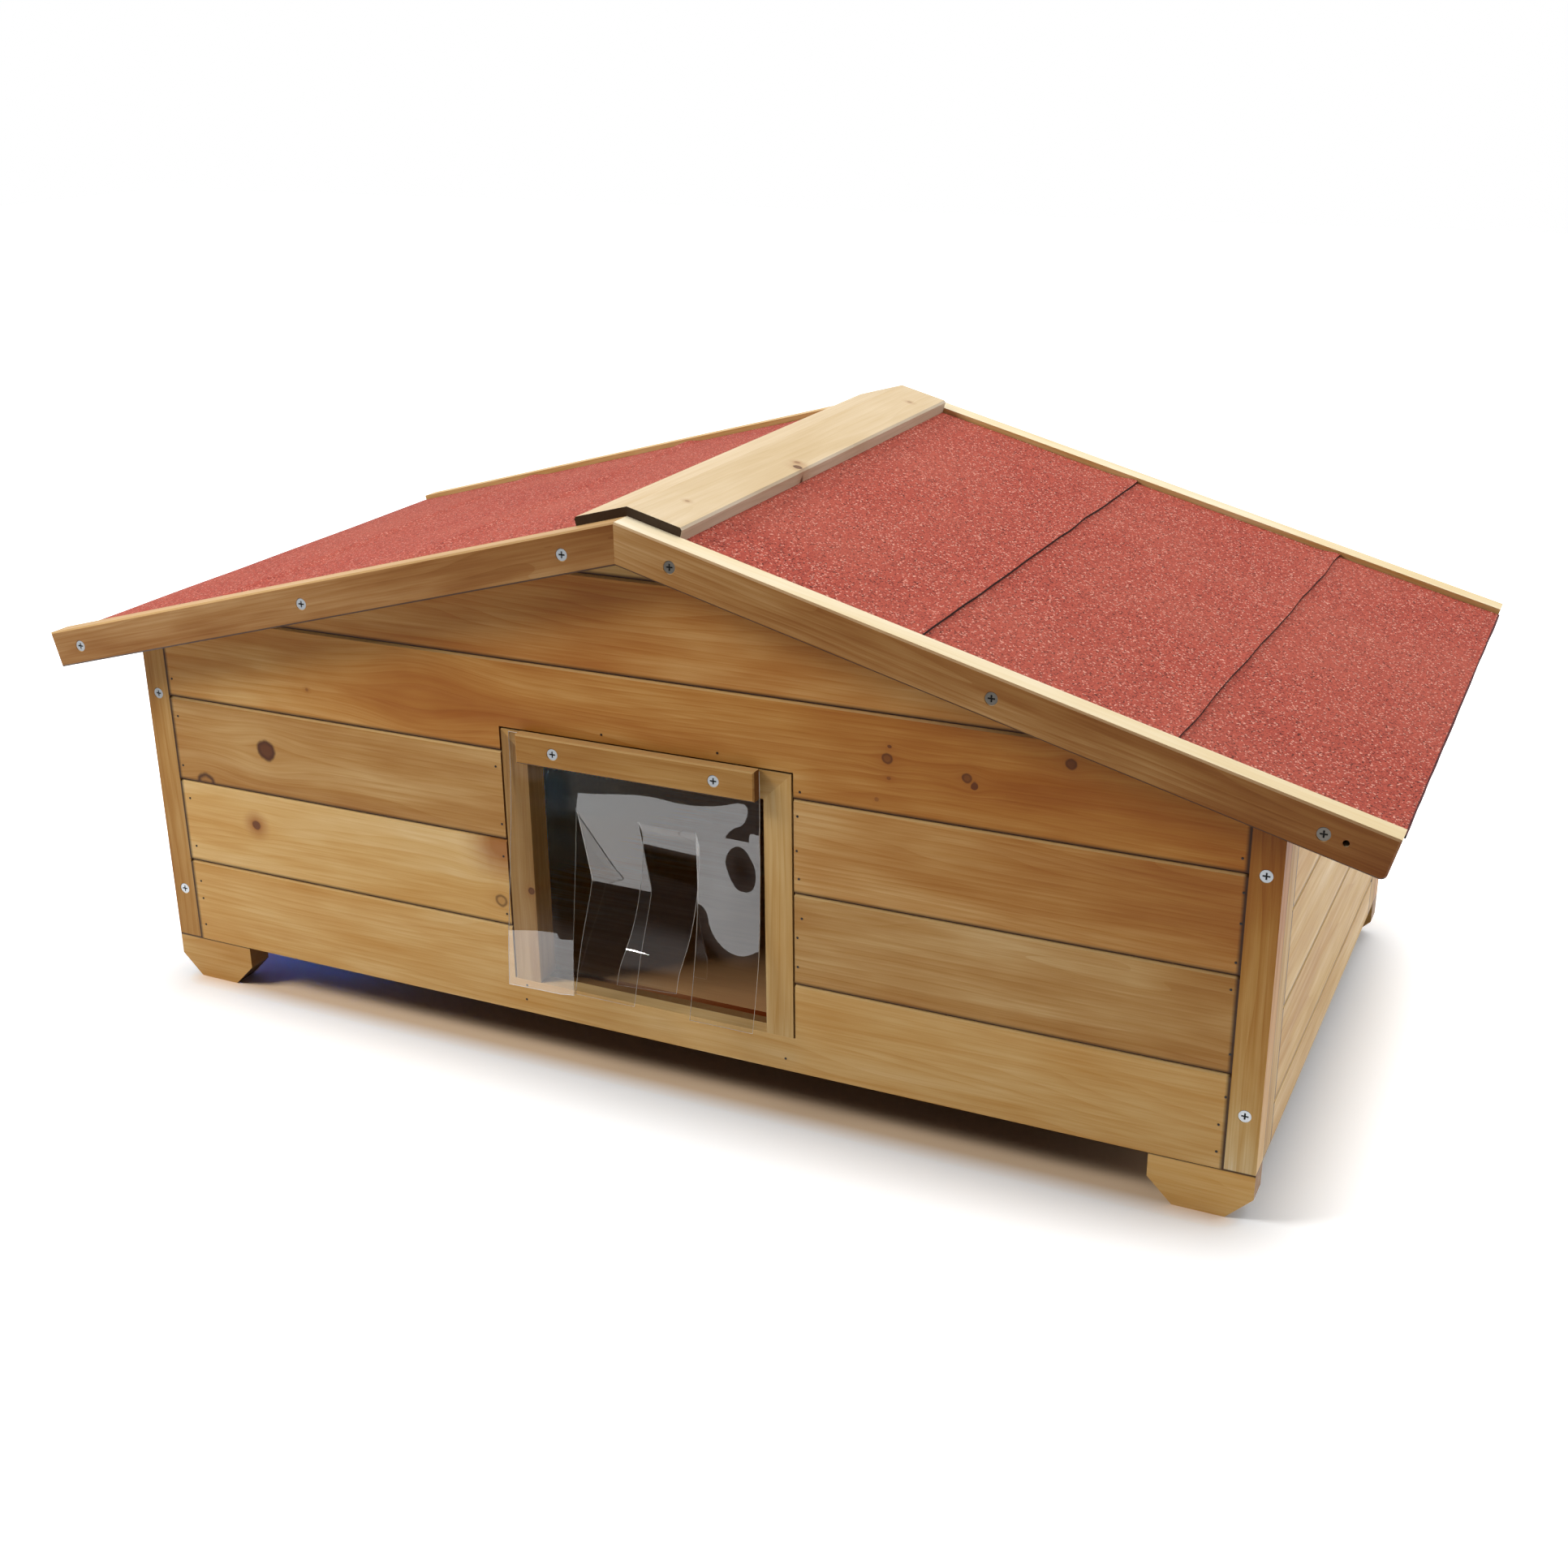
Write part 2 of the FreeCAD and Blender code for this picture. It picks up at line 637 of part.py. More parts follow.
strip_edges = [
    ("- sheet_left", "- slit_left - slit_width / 2"),
    ("- slit_left + slit_width / 2", "- slit_middle - slit_width / 2"),
    ("- slit_middle + slit_width / 2", "slit_right - slit_width / 2"),
    ("slit_right + slit_width / 2", "sheet_right"),
]
for number, (left, right) in enumerate(strip_edges, start=1):
    strip = box(f"curtain_strip_{number}", (left, "sheet_front", "sheet_bottom"),
                (f"( {right} ) - ( {left} )", "sheet_thick - strip_clear",
                 "hinge_height - sheet_bottom"))
    keep(strip, f"curtain_strip_{number}")

clamp = new_body("curtain_clamp")
pad(clamp, "XZ_Plane", "- clamp_front",
    plain_course("clamp_left", "clamp_right", "head_bottom", "clamp_top"),
    "clamp_thick", reverse=True)
clamp_face = value("clamp_front")
bevel(clamp, "clamp_bevel", lambda a, b: near(a.y, clamp_face) and near(b.y, clamp_face))
bore(clamp, "- clamp_front", clamp_screws, "hole_width", "clamp_thick + bore_extra", "sink_width")
keep(clamp, "curtain_clamp")


# Roof
# Every roof piece is drawn flat, with x down the slope and y square to it, from the point
# where the fascias meet. The body is then tipped by the pitch. All are cut at the ridge on
# the upright middle plane.

def tip(part):
    """Tips a body drawn flat onto the right slope."""
    part.Placement = FreeCAD.Placement(
        FreeCAD.Vector(0, 0, value("roof_peak")),
        FreeCAD.Rotation(FreeCAD.Vector(0, 1, 0), value("roof_pitch")))
    bind(part, "Placement.Base.z", "roof_peak")
    bind(part, "Placement.Rotation.Angle", "roof_pitch")


def slope_outline(start, end, top, bottom):
    """Corners of a roof layer. A start of None means that it is mitred at the ridge."""
    inner_top = "- ( " + top + " ) * slope_rise" if start is None else start
    inner_low = "- ( " + bottom + " ) * slope_rise" if start is None else start
    return [(inner_low, bottom), (end, bottom), (end, top), (inner_top, top)]


def layer(label, start, end, top, bottom):
    """A roof layer that fills the space between the front and rear fascias."""
    part = new_body(label)
    pad(part, "XZ_Plane", "- deck_front", slope_outline(start, end, top, bottom),
        "- 2 * deck_front", reverse=True)
    return part


def fascia(label, last_screw, spare=None):
    """A front fascia for the right slope, with its countersunk holes. One with a spare hole
    has a worn lower corner too."""
    part = new_body(label)
    pad(part, "XZ_Plane", "- roof_front", slope_outline(None, "fascia_length", "0", "- fascia_height"),
        "fascia_thick", reverse=True)
    end, low, face = value("fascia_length"), -value("fascia_height"), value("roof_front")

    def on_rim(a, b):
        long_edge = near(a.z, b.z) and not near(a.x, b.x)
        end_edge = near(a.x, end) and near(b.x, end)
        return near(a.y, face) and near(b.y, face) and (long_edge or end_edge)

    if spare:
        trim_edges(part, "Fillet", "fascia_corner", lambda a, b: near(a.x, end) and near(b.x, end)
                   and near(a.z, low) and near(b.z, low))
    bevel(part, "fascia_bevel", on_rim)
    reaches = ["fascia_screw_upper", "fascia_screw_middle", last_screw]
    centres = [(reach, "- fascia_screw_drop") for reach in reaches]
    bore(part, "- roof_front", centres, "hole_width", "fascia_thick + bore_extra", "sink_width")
    if spare:
        bore(part, "- roof_front", [(spare, "- fascia_screw_drop")], "hole_width",
             "fascia_thick + bore_extra")
    return part


deck = layer("deck_pattern", None, "deck_length", "- deck_top_drop", "- deck_under_drop")
deck_screws = [
    ("fascia_screw_upper", "- fascia_screw_drop"),
    ("fascia_screw_middle", "- fascia_screw_drop"),
    ("fascia_screw_lower", "- fascia_screw_drop"),
    ("fascia_screw_inner", "- fascia_screw_drop"),
]
bore(deck, "- deck_front", deck_screws, "hole_width", "screw_length - fascia_thick + bore_extra")
tip(deck)
doc.recompute()
half = box("half_space", ("- house_width", "0", "0"), ("2 * house_width", "house_depth", "roof_peak"))
front_half = doc.addObject("Part::Cut", "deck_front_half")
front_half.Base = deck
front_half.Tool = half
rear_half = mirror(front_half, "deck_rear_half", ALONG)
deck_right = doc.addObject("Part::MultiFuse", "roof_deck_right")
deck_right.Shapes = [front_half, rear_half]
deck_right.Refine = True
keep(deck_right, "roof_deck_right")
keep(mirror(deck_right, "roof_deck_left", ACROSS), "roof_deck_left")

felt_courses = [
    ("felt_upper", None, "felt_seam_upper - felt_gap / 2"),
    ("felt_middle", "felt_seam_upper + felt_gap / 2", "felt_seam_lower - felt_gap / 2"),
    ("felt_lower", "felt_seam_lower + felt_gap / 2", "felt_length"),
]
for name, start, end in felt_courses:
    course = layer(name + "_right", start, end, "- felt_drop", "- felt_drop - felt_thick")
    tip(course)
    keep(course, name + "_right")
    keep(mirror(course, name + "_left", ACROSS), name + "_left")

front_right = fascia("fascia_front_right", "fascia_screw_inner", "spare_hole")
tip(front_right)
keep(front_right, "fascia_front_right")
plain_fascia = fascia("fascia_pattern", "fascia_screw_lower")
tip(plain_fascia)
fascia_left = keep(mirror(plain_fascia, "fascia_front_left", ACROSS), "fascia_front_left")
keep(mirror(plain_fascia, "fascia_rear_right", ALONG), "fascia_rear_right")
keep(mirror(fascia_left, "fascia_rear_left", ALONG), "fascia_rear_left")

ridge = layer("ridge_board_right", None, "ridge_width", "ridge_thick - felt_drop", "- felt_drop")
ridge_end = value("ridge_width")
ridge_top = value("ridge_thick - felt_drop")
bevel(ridge, "ridge_bevel", lambda a, b: near(a.x, ridge_end) and near(b.x, ridge_end)
      and near(a.z, ridge_top) and near(b.z, ridge_top))
tip(ridge)
keep(ridge, "ridge_board_right")
keep(mirror(ridge, "ridge_board_left", ACROSS), "ridge_board_left")


# Screws
# One countersunk screw with a cross recess, pointing along +Y from its head, is copied to
# every hole.

def screw_shape(length):
    """A screw whose flat top is at the origin."""
    back = FreeCAD.Vector(0, 1, 0)
    head_radius, shank_radius = value("head_width") / 2, value("shank_width") / 2
    cone = Part.makeCone(head_radius, shank_radius, value("head_depth"), FreeCAD.Vector(), back)
    shank = Part.makeCylinder(shank_radius, length, FreeCAD.Vector(), back)
    screw = cone.fuse(shank).removeSplitter()
    long, thin, deep = value("cross_span"), value("cross_width"), value("cross_depth")
    for wide, tall in ((long, thin), (thin, long)):
        slot = Part.makeBox(wide, 2 * deep, tall, FreeCAD.Vector(-wide / 2, -deep, -tall / 2))
        screw = screw.cut(slot)
    return screw


def placed(shape, place):
    """A moved copy of a shape."""
    copy = shape.copy()
    copy.Placement = place.multiply(copy.Placement)
    return copy


def turned_rear(x, y, z):
    """A place on the rear face, with the screw pointing forward."""
    turn = FreeCAD.Rotation(FreeCAD.Vector(0, 0, 1), 180)
    return FreeCAD.Placement(FreeCAD.Vector(x, y, z), turn)


def slope_point(reach, side):
    """X and Z of a fascia screw on the left (-1) or right (1) slope."""
    pitch = FreeCAD.Rotation(FreeCAD.Vector(0, 1, 0), value("roof_pitch"))
    spot = pitch.multVec(FreeCAD.Vector(reach, 0, -value("fascia_screw_drop")))
    return side * spot.x, spot.z + value("roof_peak")


drop = value("head_drop")
long_screw = screw_shape(value("screw_length"))
short_screw = screw_shape(value("screw_short"))
no_turn = FreeCAD.Rotation()

house_screws = []
for side in (-1, 1):
    for height in (value("post_screw_low"), value("post_screw_high")):
        x = side * value("post_screw_across")
        front_spot = FreeCAD.Placement(FreeCAD.Vector(x, value("front") + drop, height), no_turn)
        house_screws.append(placed(long_screw, front_spot))
        rear_spot = turned_rear(x, -value("front") - drop, height)
        house_screws.append(placed(long_screw, rear_spot))
    x = value("clamp_screw_left" if side < 0 else "clamp_screw_right")
    clamp_spot = FreeCAD.Vector(x, value("clamp_front") + drop, value("clamp_screw_height"))
    house_screws.append(placed(short_screw, FreeCAD.Placement(clamp_spot, no_turn)))

roof_screws = []
for side in (-1, 1):
    for row in ("fascia_screw_upper", "fascia_screw_middle", "fascia_screw_lower"):
        front_row = "fascia_screw_inner" if side > 0 and row == "fascia_screw_lower" else row
        x, z = slope_point(value(front_row), side)
        front_spot = FreeCAD.Vector(x, value("roof_front") + drop, z)
        roof_screws.append(placed(long_screw, FreeCAD.Placement(front_spot, no_turn)))
        x, z = slope_point(value(row), side)
        roof_screws.append(placed(long_screw, turned_rear(x, -value("roof_front") - drop, z)))

for label, shapes in (("house_screws", house_screws), ("roof_screws", roof_screws)):
    group = doc.addObject("Part::Feature", label)
    group.Shape = Part.makeCompound(shapes)
    keep(group, label)


# Check and write

doc.recompute()
faulty = [item.Label for item in doc.Objects if "Invalid" in item.State or "Error" in item.State]
if faulty:
    raise RuntimeError("faulty objects: " + ", ".join(faulty))
os.makedirs("parts", exist_ok=True)
for item in nodes:
    if item.Shape.isNull() or not item.Shape.isValid():
        raise RuntimeError(item.Label + ": no valid shape")
    item.Shape.exportStep(os.path.join("parts", item.Label + ".step"))
print(len(nodes), "pieces written")
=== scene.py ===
import math
import random

import bpy
from mathutils import Matrix, Vector, noise


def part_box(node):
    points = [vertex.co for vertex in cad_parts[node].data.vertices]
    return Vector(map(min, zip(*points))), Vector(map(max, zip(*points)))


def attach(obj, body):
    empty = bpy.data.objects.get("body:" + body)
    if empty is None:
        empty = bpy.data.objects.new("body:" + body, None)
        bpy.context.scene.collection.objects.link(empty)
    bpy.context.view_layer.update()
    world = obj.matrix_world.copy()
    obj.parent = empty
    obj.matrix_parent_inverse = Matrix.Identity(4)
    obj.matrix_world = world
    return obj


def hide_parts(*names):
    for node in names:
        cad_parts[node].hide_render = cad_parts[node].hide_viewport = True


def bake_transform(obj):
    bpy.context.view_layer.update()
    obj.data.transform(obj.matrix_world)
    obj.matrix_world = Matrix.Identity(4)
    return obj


# An outdoor cat house: tongued boards on corner posts, a low gable roof covered with
# granule felt that lifts off, and a doorway behind a clear curtain cut into four strips.
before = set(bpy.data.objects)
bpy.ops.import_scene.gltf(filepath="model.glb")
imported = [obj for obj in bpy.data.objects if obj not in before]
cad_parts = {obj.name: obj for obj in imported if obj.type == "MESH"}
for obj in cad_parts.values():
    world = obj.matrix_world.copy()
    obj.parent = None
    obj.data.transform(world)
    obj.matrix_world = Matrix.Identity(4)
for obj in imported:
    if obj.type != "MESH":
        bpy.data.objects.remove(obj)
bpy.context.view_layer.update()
bpy.ops.object.select_all(action="DESELECT")


# Camera
# It stands to the right of the doorway and looks down on the roof. The place is in metres,
# and the three directions are those of the picture: to its right, down it, and into it.
CAMERA_PLACE = (0.598285, -1.275468, 0.702961)
PICTURE_RIGHT = Vector((0.90623943, 0.42265593, -0.0095951))
PICTURE_DOWN = Vector((0.14741683, -0.33719313, -0.92982206))
PICTURE_IN = Vector((-0.39623021, 0.84122693, -0.36788431))
FOCUS_PIXELS, PICTURE_PIXELS = 2379.89, 1932

camera = bpy.data.objects.new("camera", bpy.data.cameras.new("camera"))
camera.data.sensor_width = 36
camera.data.lens = camera.data.sensor_width * FOCUS_PIXELS / PICTURE_PIXELS
turned = Matrix((PICTURE_RIGHT, -PICTURE_DOWN, -PICTURE_IN)).transposed()
camera.matrix_world = Matrix.Translation(CAMERA_PLACE) @ turned.to_4x4()
bpy.context.scene.collection.objects.link(camera)
bpy.context.scene.camera = camera
bpy.context.scene.view_settings.view_transform = "Standard"


# Studio
# A white table under a white backdrop. The main lamp stands in front, high on the left. A wide
# one hangs above the roof and a weaker one on the right. The room before the table is dark.


def colour(code):
    """An sRGB hex colour as linear values."""
    parts = [int(code[start:start + 2], 16) / 255 for start in (1, 3, 5)]
    return [part / 12.92 if part <= 0.04045 else ((part + 0.055) / 1.055) ** 2.4
            for part in parts] + [1.0]


def add(tree, kind, inputs=None, **settings):
    """Adds a node, sets it, and gives its inputs their links or plain values."""
    made = tree.nodes.new("ShaderNode" + kind)
    for name, choice in settings.items():
        setattr(made, name, choice)
    for socket, source in (inputs or {}).items():
        if isinstance(source, bpy.types.NodeSocket):
            tree.links.new(source, made.inputs[socket])
        else:
            made.inputs[socket].default_value = source
    return made


def new_material(name):
    """An empty material with its output node."""
    material = bpy.data.materials.new(name)
    material.use_nodes = True
    material.node_tree.nodes.clear()
    return material, material.node_tree, add(material.node_tree, "OutputMaterial")


def calc(tree, operation, first, second=0.0, third=0.0, clamp=False):
    """The result of a Math node."""
    return add(tree, "Math", {0: first, 1: second, 2: third}, operation=operation,
               use_clamp=clamp).outputs[0]


# The world is white to the camera. Gloss sees it bright behind the house and high up, and
# dark in front. It lights the house a little, and more from behind.
world = bpy.data.worlds.new("studio")
bpy.context.scene.world = world
world.use_nodes = True
sky = world.node_tree
sky.nodes.clear()
paths = add(sky, "LightPath").outputs
facing = add(sky, "SeparateXYZ", {0: add(sky, "TexCoord").outputs["Generated"]}).outputs
behind = add(sky, "MapRange", {0: facing["Y"], 1: 0.25, 2: 0.5, 3: 0.02, 4: 1.0}).outputs[0]
wall = add(sky, "MapRange", {0: facing["Z"], 1: 0.45, 2: 0.75, 3: 0.05, 4: 0.35}).outputs[0]
mirrored = calc(sky, "MAXIMUM", behind, wall)
spread = add(sky, "MapRange", {0: facing["Y"], 1: -0.2, 2: 0.6, 3: 0.06, 4: 0.6}).outputs[0]
in_gloss = calc(sky, "ADD", paths["Is Glossy Ray"], paths["Is Transmission Ray"], clamp=True)
lit = add(sky, "Mix", {0: in_gloss, 2: spread, 3: mirrored}, data_type="FLOAT")
shown = add(sky, "Mix", {0: paths["Is Camera Ray"], 2: lit.outputs[0], 3: 1.0}, data_type="FLOAT")
background = add(sky, "Background", {"Color": colour("#FFFFFF"), "Strength": shown.outputs[0]})
add(sky, "OutputWorld", {"Surface": background.outputs[0]})

# Each lamp has its place, its width, its power, and whether gloss mirrors it: the small one
# shows as a bright spot in the curtain.
LAMPS = [
    ("lamp_front_left", (-1.3, -1.0, 1.5), 0.7, 30, False),
    ("lamp_above", (0.4, 0.5, 2.2), 1.6, 30, False),
    ("lamp_right", (2.2, 0.6, 0.9), 1.0, 12.5, False),
    ("lamp_small", (-0.742, -1.29, 1.79), 0.042, 0.25, True),
]
LAMPS_AIM = Vector((0, 0, 0.2))
for name, place, width, power, in_mirrors in LAMPS:
    lamp = bpy.data.objects.new(name, bpy.data.lights.new(name, "AREA"))
    lamp.data.size = width
    lamp.data.energy = power
    lamp.visible_glossy = in_mirrors
    lamp.location = place
    aim = LAMPS_AIM - lamp.location
    lamp.rotation_euler = aim.to_track_quat("-Z", "Y").to_euler()
    bpy.context.scene.collection.objects.link(lamp)

# The table glows white for the camera, but the glow fades to nothing close to the house, so the
# shadow there is partly real and partly painted shade. Gloss shows it white from just outside
# the house's footprint. Beside the house it is painted warm, a painted light bounced off the wood.
FLOOR_REACH = 6.0
FOOTPRINT = (0.40, 0.225, 0)
SHADOW_REACH, GLOSS_REACH, WARM_REACH = 0.14, 0.04, 0.02
bpy.ops.mesh.primitive_plane_add(size=2 * FLOOR_REACH)
floor = bpy.context.object
floor.name = "floor"
material, tree, output = new_material("white_table")
paths = add(tree, "LightPath").outputs
folded = add(tree, "VectorMath", {0: add(tree, "TexCoord").outputs["Object"]}, operation="ABSOLUTE")
away = add(tree, "VectorMath", {0: folded.outputs[0], 1: FOOTPRINT}, operation="SUBTRACT")
away = add(tree, "VectorMath", {0: away.outputs[0], 1: (0, 0, 0)}, operation="MAXIMUM")
away = add(tree, "VectorMath", {0: away.outputs[0]}, operation="LENGTH").outputs["Value"]
# Painted shade: the glow for the camera fades out towards the house.
white = add(tree, "MapRange", {0: away, 1: 0.0, 2: SHADOW_REACH, 3: 0.0, 4: 1.0}).outputs[0]
in_gloss = calc(tree, "ADD", paths["Is Glossy Ray"], paths["Is Transmission Ray"], clamp=True)
clear_of = calc(tree, "DIVIDE", away, GLOSS_REACH, clamp=True)
white = calc(tree, "MULTIPLY", white, paths["Is Camera Ray"])
white = calc(tree, "MULTIPLY_ADD", clear_of, in_gloss, white)
glow = add(tree, "Emission", {"Strength": white})
# Painted bounce light: beside the house the table takes a warm colour.
warm = add(tree, "MapRange", {0: away, 1: 0.0, 2: WARM_REACH, 3: 1.0, 4: 0.0}).outputs[0]
tint = add(tree, "Mix", {0: warm, 6: colour("#F6F6F6"), 7: colour("#EACBA8")}, data_type="RGBA")
paper = add(tree, "BsdfDiffuse", {"Color": tint.outputs[2]})
both = add(tree, "AddShader", {0: paper.outputs[0], 1: glow.outputs[0]})
tree.links.new(both.outputs[0], output.inputs["Surface"])
floor.data.materials.append(material)

# The dark room begins at the table's front edge. Only gloss sees it: its near black is painted
# shade standing for the unlit room, and a stretch of its boards along that edge is painted paler,
# as painted light.
TABLE_EDGE, EDGE_TURN = (-0.25, -0.70, 0.001), math.radians(-10)
PALE_FROM, PALE_TO = 0.05, 0.25
into_room = Matrix.Rotation(EDGE_TURN, 3, "Z") @ Vector((0, -FLOOR_REACH, 0))
bpy.ops.mesh.primitive_plane_add(size=2 * FLOOR_REACH, location=Vector(TABLE_EDGE) + into_room,
                                 rotation=(0, 0, EDGE_TURN))
dark_room = bpy.context.object
dark_room.name = "dark_room"
dark_room.visible_camera = dark_room.visible_diffuse = dark_room.visible_shadow = False
material, tree, output = new_material("painted_dark_room")
spot = add(tree, "SeparateXYZ", {0: add(tree, "TexCoord").outputs["Object"]}).outputs["Y"]
# Painted light: the stretch nearest the table's edge is paler.
pale = add(tree, "MapRange", {0: spot, 1: FLOOR_REACH - PALE_TO, 2: FLOOR_REACH - PALE_FROM,
                              3: 0.0, 4: 1.0}).outputs[0]
shade = add(tree, "Mix", {0: pale, 6: colour("#0A0A0A"), 7: colour("#6E6763")}, data_type="RGBA")
boards = add(tree, "BsdfDiffuse", {"Color": shade.outputs[2]})
tree.links.new(boards.outputs[0], output.inputs["Surface"])
dark_room.data.materials.append(material)


# Front wall
# Six courses of planed pine, 12 mm thick, nailed at their ends and glazed with a thin stain,
# so that growth lines, fibres and knots show through it.
GROWTH_RING = 0.0065
# A dark colour for painted shade and pooled stain, and a pale one for wear and painted highlight.
POOLED_STAIN_AND_SHADE, WEAR_AND_HIGHLIGHT = "#2C1406", "#E6C48C"
HALO, KNOT, KNOT_RIM = "#95561E", "#56290F", "#3A1A0A"


def stained_pine(name, grain, seed, stain, knots=(), top=None, seams=(), deepen=(0.0, 0.0),
                 lying=False, ends=("#5C3416", 0.75)):
    """Planed pine under a thin stain.

    Grain is the direction of its fibres. Each knot is its place, its radius, and how strong its
    halo, its body and its rim are. Top is a pale colour painted on faces that look up, a painted
    highlight. A seam is an axis, a place on it, and half the width of its dark line, which is
    painted shade with stain pooled in it. Deepen is how much darker the wood is painted in each
    metre along the grain, a painted shade, and where it is as named. The broad face of a lying
    board faces upward. Ends are the colour and the strength of the stain on cut ends."""
    material, tree, output = new_material(name)
    space = add(tree, "TexCoord").outputs
    grain = Vector(grain).normalized()
    turn = grain.rotation_difference(Vector((1, 0, 0))).to_euler()
    own = add(tree, "Mapping", {"Vector": space["Object"], "Rotation": turn}).outputs[0]

    # Fibres part around a knot and close again behind it.
    spots = []
    across, deep = Vector((0, 0, 1)), Vector((0, 1, 0))
    if lying:
        across, deep = deep, across
    for place, radius, *strengths in knots:
        centre = turn.to_matrix() @ Vector(place)
        away = add(tree, "VectorMath", {0: own, 1: centre}, operation="SUBTRACT").outputs[0]
        wobble = add(tree, "TexNoise", {"Vector": away, "Scale": 120.0, "Detail": 2.0})
        near = add(tree, "VectorMath", {0: away, 1: Vector((1, 0, 0)) + across + deep * 0.1},
                   operation="MULTIPLY").outputs[0]
        size = add(tree, "VectorMath", {0: near}, operation="LENGTH").outputs["Value"]
        size = calc(tree, "MULTIPLY_ADD", wobble.outputs["Fac"], radius * 0.5, size)
        size = calc(tree, "DIVIDE", calc(tree, "SUBTRACT", size, radius * 0.25), radius)
        spots.append((size, strengths))
        reach = add(tree, "VectorMath", {0: away, 1: Vector((0.3, 0, 0)) / radius + across * 0.5 / radius},
                    operation="MULTIPLY").outputs[0]
        reach = add(tree, "VectorMath", {0: reach}, operation="LENGTH").outputs["Value"]
        pull = calc(tree, "EXPONENT", calc(tree, "MULTIPLY", calc(tree, "POWER", reach, 2.0), -1.0))
        part = add(tree, "VectorMath", {0: away, 1: across * -0.8}, operation="MULTIPLY").outputs[0]
        shift = add(tree, "VectorMath", {0: part, "Scale": pull}, operation="SCALE").outputs[0]
        own = add(tree, "VectorMath", {0: own, 1: shift}, operation="ADD").outputs[0]

    moved = add(tree, "Mapping", {"Vector": own, "Location": (seed * 1.7, seed * 0.31, seed * 0.53)})
    moved = moved.outputs[0]

    def streaks(along, across, detail=2.0):
        """Noise drawn out along the fibres, from -0.5 to 0.5. Sizes are in metres."""
        scaled = add(tree, "VectorMath", {0: moved, 1: (1 / along, 1 / across, 1 / across)},
                     operation="MULTIPLY").outputs[0]
        drawn = add(tree, "TexNoise", {"Vector": scaled, "Scale": 1.0, "Detail": detail})
        return calc(tree, "SUBTRACT", drawn.outputs["Fac"], 0.5)

    # Growth rings: a slow rise from pale early wood to a thin dark line of late wood.
    parts = add(tree, "SeparateXYZ", {0: moved}).outputs
    depth = calc(tree, "MULTIPLY_ADD", parts["Y"], 0.6, parts["Z"])
    depth = calc(tree, "MULTIPLY_ADD", streaks(0.45, 0.05), 0.07, depth)
    ring = calc(tree, "POWER", calc(tree, "FRACT", calc(tree, "DIVIDE", depth, GROWTH_RING)), 2.5)
    ring = calc(tree, "MULTIPLY", ring, calc(tree, "ADD", streaks(0.25, 0.03), 0.5))
    fibre, streak = streaks(0.05, 0.0012, 3.0), streaks(0.16, 0.006, 3.0)

    # The stain's thickness: a slope along the grain, which is painted shade, then broad clouds,
    # streaks, rings and fibres. A film twice as thick takes up twice as much light, so the
    # thickness is a power of the colour.
    along = add(tree, "SeparateXYZ", {0: own}).outputs["X"]
    slope, middle = deepen
    film = calc(tree, "MULTIPLY_ADD", along, slope, 0.9 - slope * middle)
    film = calc(tree, "MULTIPLY_ADD", streaks(0.3, 0.04), 0.9, film)
    film = calc(tree, "MULTIPLY_ADD", streak, 0.31, film)
    film = calc(tree, "MULTIPLY_ADD", streaks(0.07, 0.02), 0.5, film)
    film = calc(tree, "MULTIPLY_ADD", ring, 0.23, film)
    film = calc(tree, "MULTIPLY_ADD", fibre, 0.35, film)
    shade = add(tree, "Gamma", {"Color": colour(stain), "Gamma": film}).outputs[0]

    def paint(strength, code, under):
        """The shade with another colour over it."""
        mixed = {0: strength, 6: under, 7: colour(code)}
        return add(tree, "Mix", mixed, data_type="RGBA").outputs[2]

    upright = add(tree, "SeparateXYZ", {0: space["Normal"]}).outputs["Z"]
    # Painted highlight: faces that look up take the pale top colour.
    if top:
        upward = add(tree, "MapRange", {0: upright, 1: 0.6, 2: 0.9, 3: 0.0, 4: 0.92}).outputs[0]
        painted_sheen = add(tree, "Gamma", {"Color": colour(top), "Gamma": film}).outputs[0]
        shade = add(tree, "Mix", {0: upward, 6: shade, 7: painted_sheen}, data_type="RGBA").outputs[2]

    # Faces that look down are painted dark: painted shade, with stain pooled in the grooves. Faces
    # that look up are painted pale: stain rubbed off, and a painted highlight.
    wear_and_highlight = add(tree, "MapRange", {0: upright, 1: 0.5, 2: 0.65, 3: 0.0, 4: 0.0 if top else 0.4})
    shade = paint(wear_and_highlight.outputs[0], WEAR_AND_HIGHLIGHT, shade)
    underside_shade_and_stain = add(tree, "MapRange", {0: upright, 1: -0.4, 2: -0.6, 3: 0.0, 4: 0.0 if lying else 0.9})
    shade = paint(underside_shade_and_stain.outputs[0], POOLED_STAIN_AND_SHADE, shade)
    # Each seam is a dark line along a joint: painted shade of the gap, with stain pooled in it.
    for axis, place, width in seams:
        spot = add(tree, "SeparateXYZ", {0: space["Object"]}).outputs[axis]
        gap = calc(tree, "ABSOLUTE", calc(tree, "SUBTRACT", spot, place))
        line = add(tree, "MapRange", {0: gap, 1: width * 0.5, 2: width * 1.5, 3: 0.95, 4: 0.0})
        shade = paint(line.outputs[0], POOLED_STAIN_AND_SHADE, shade)

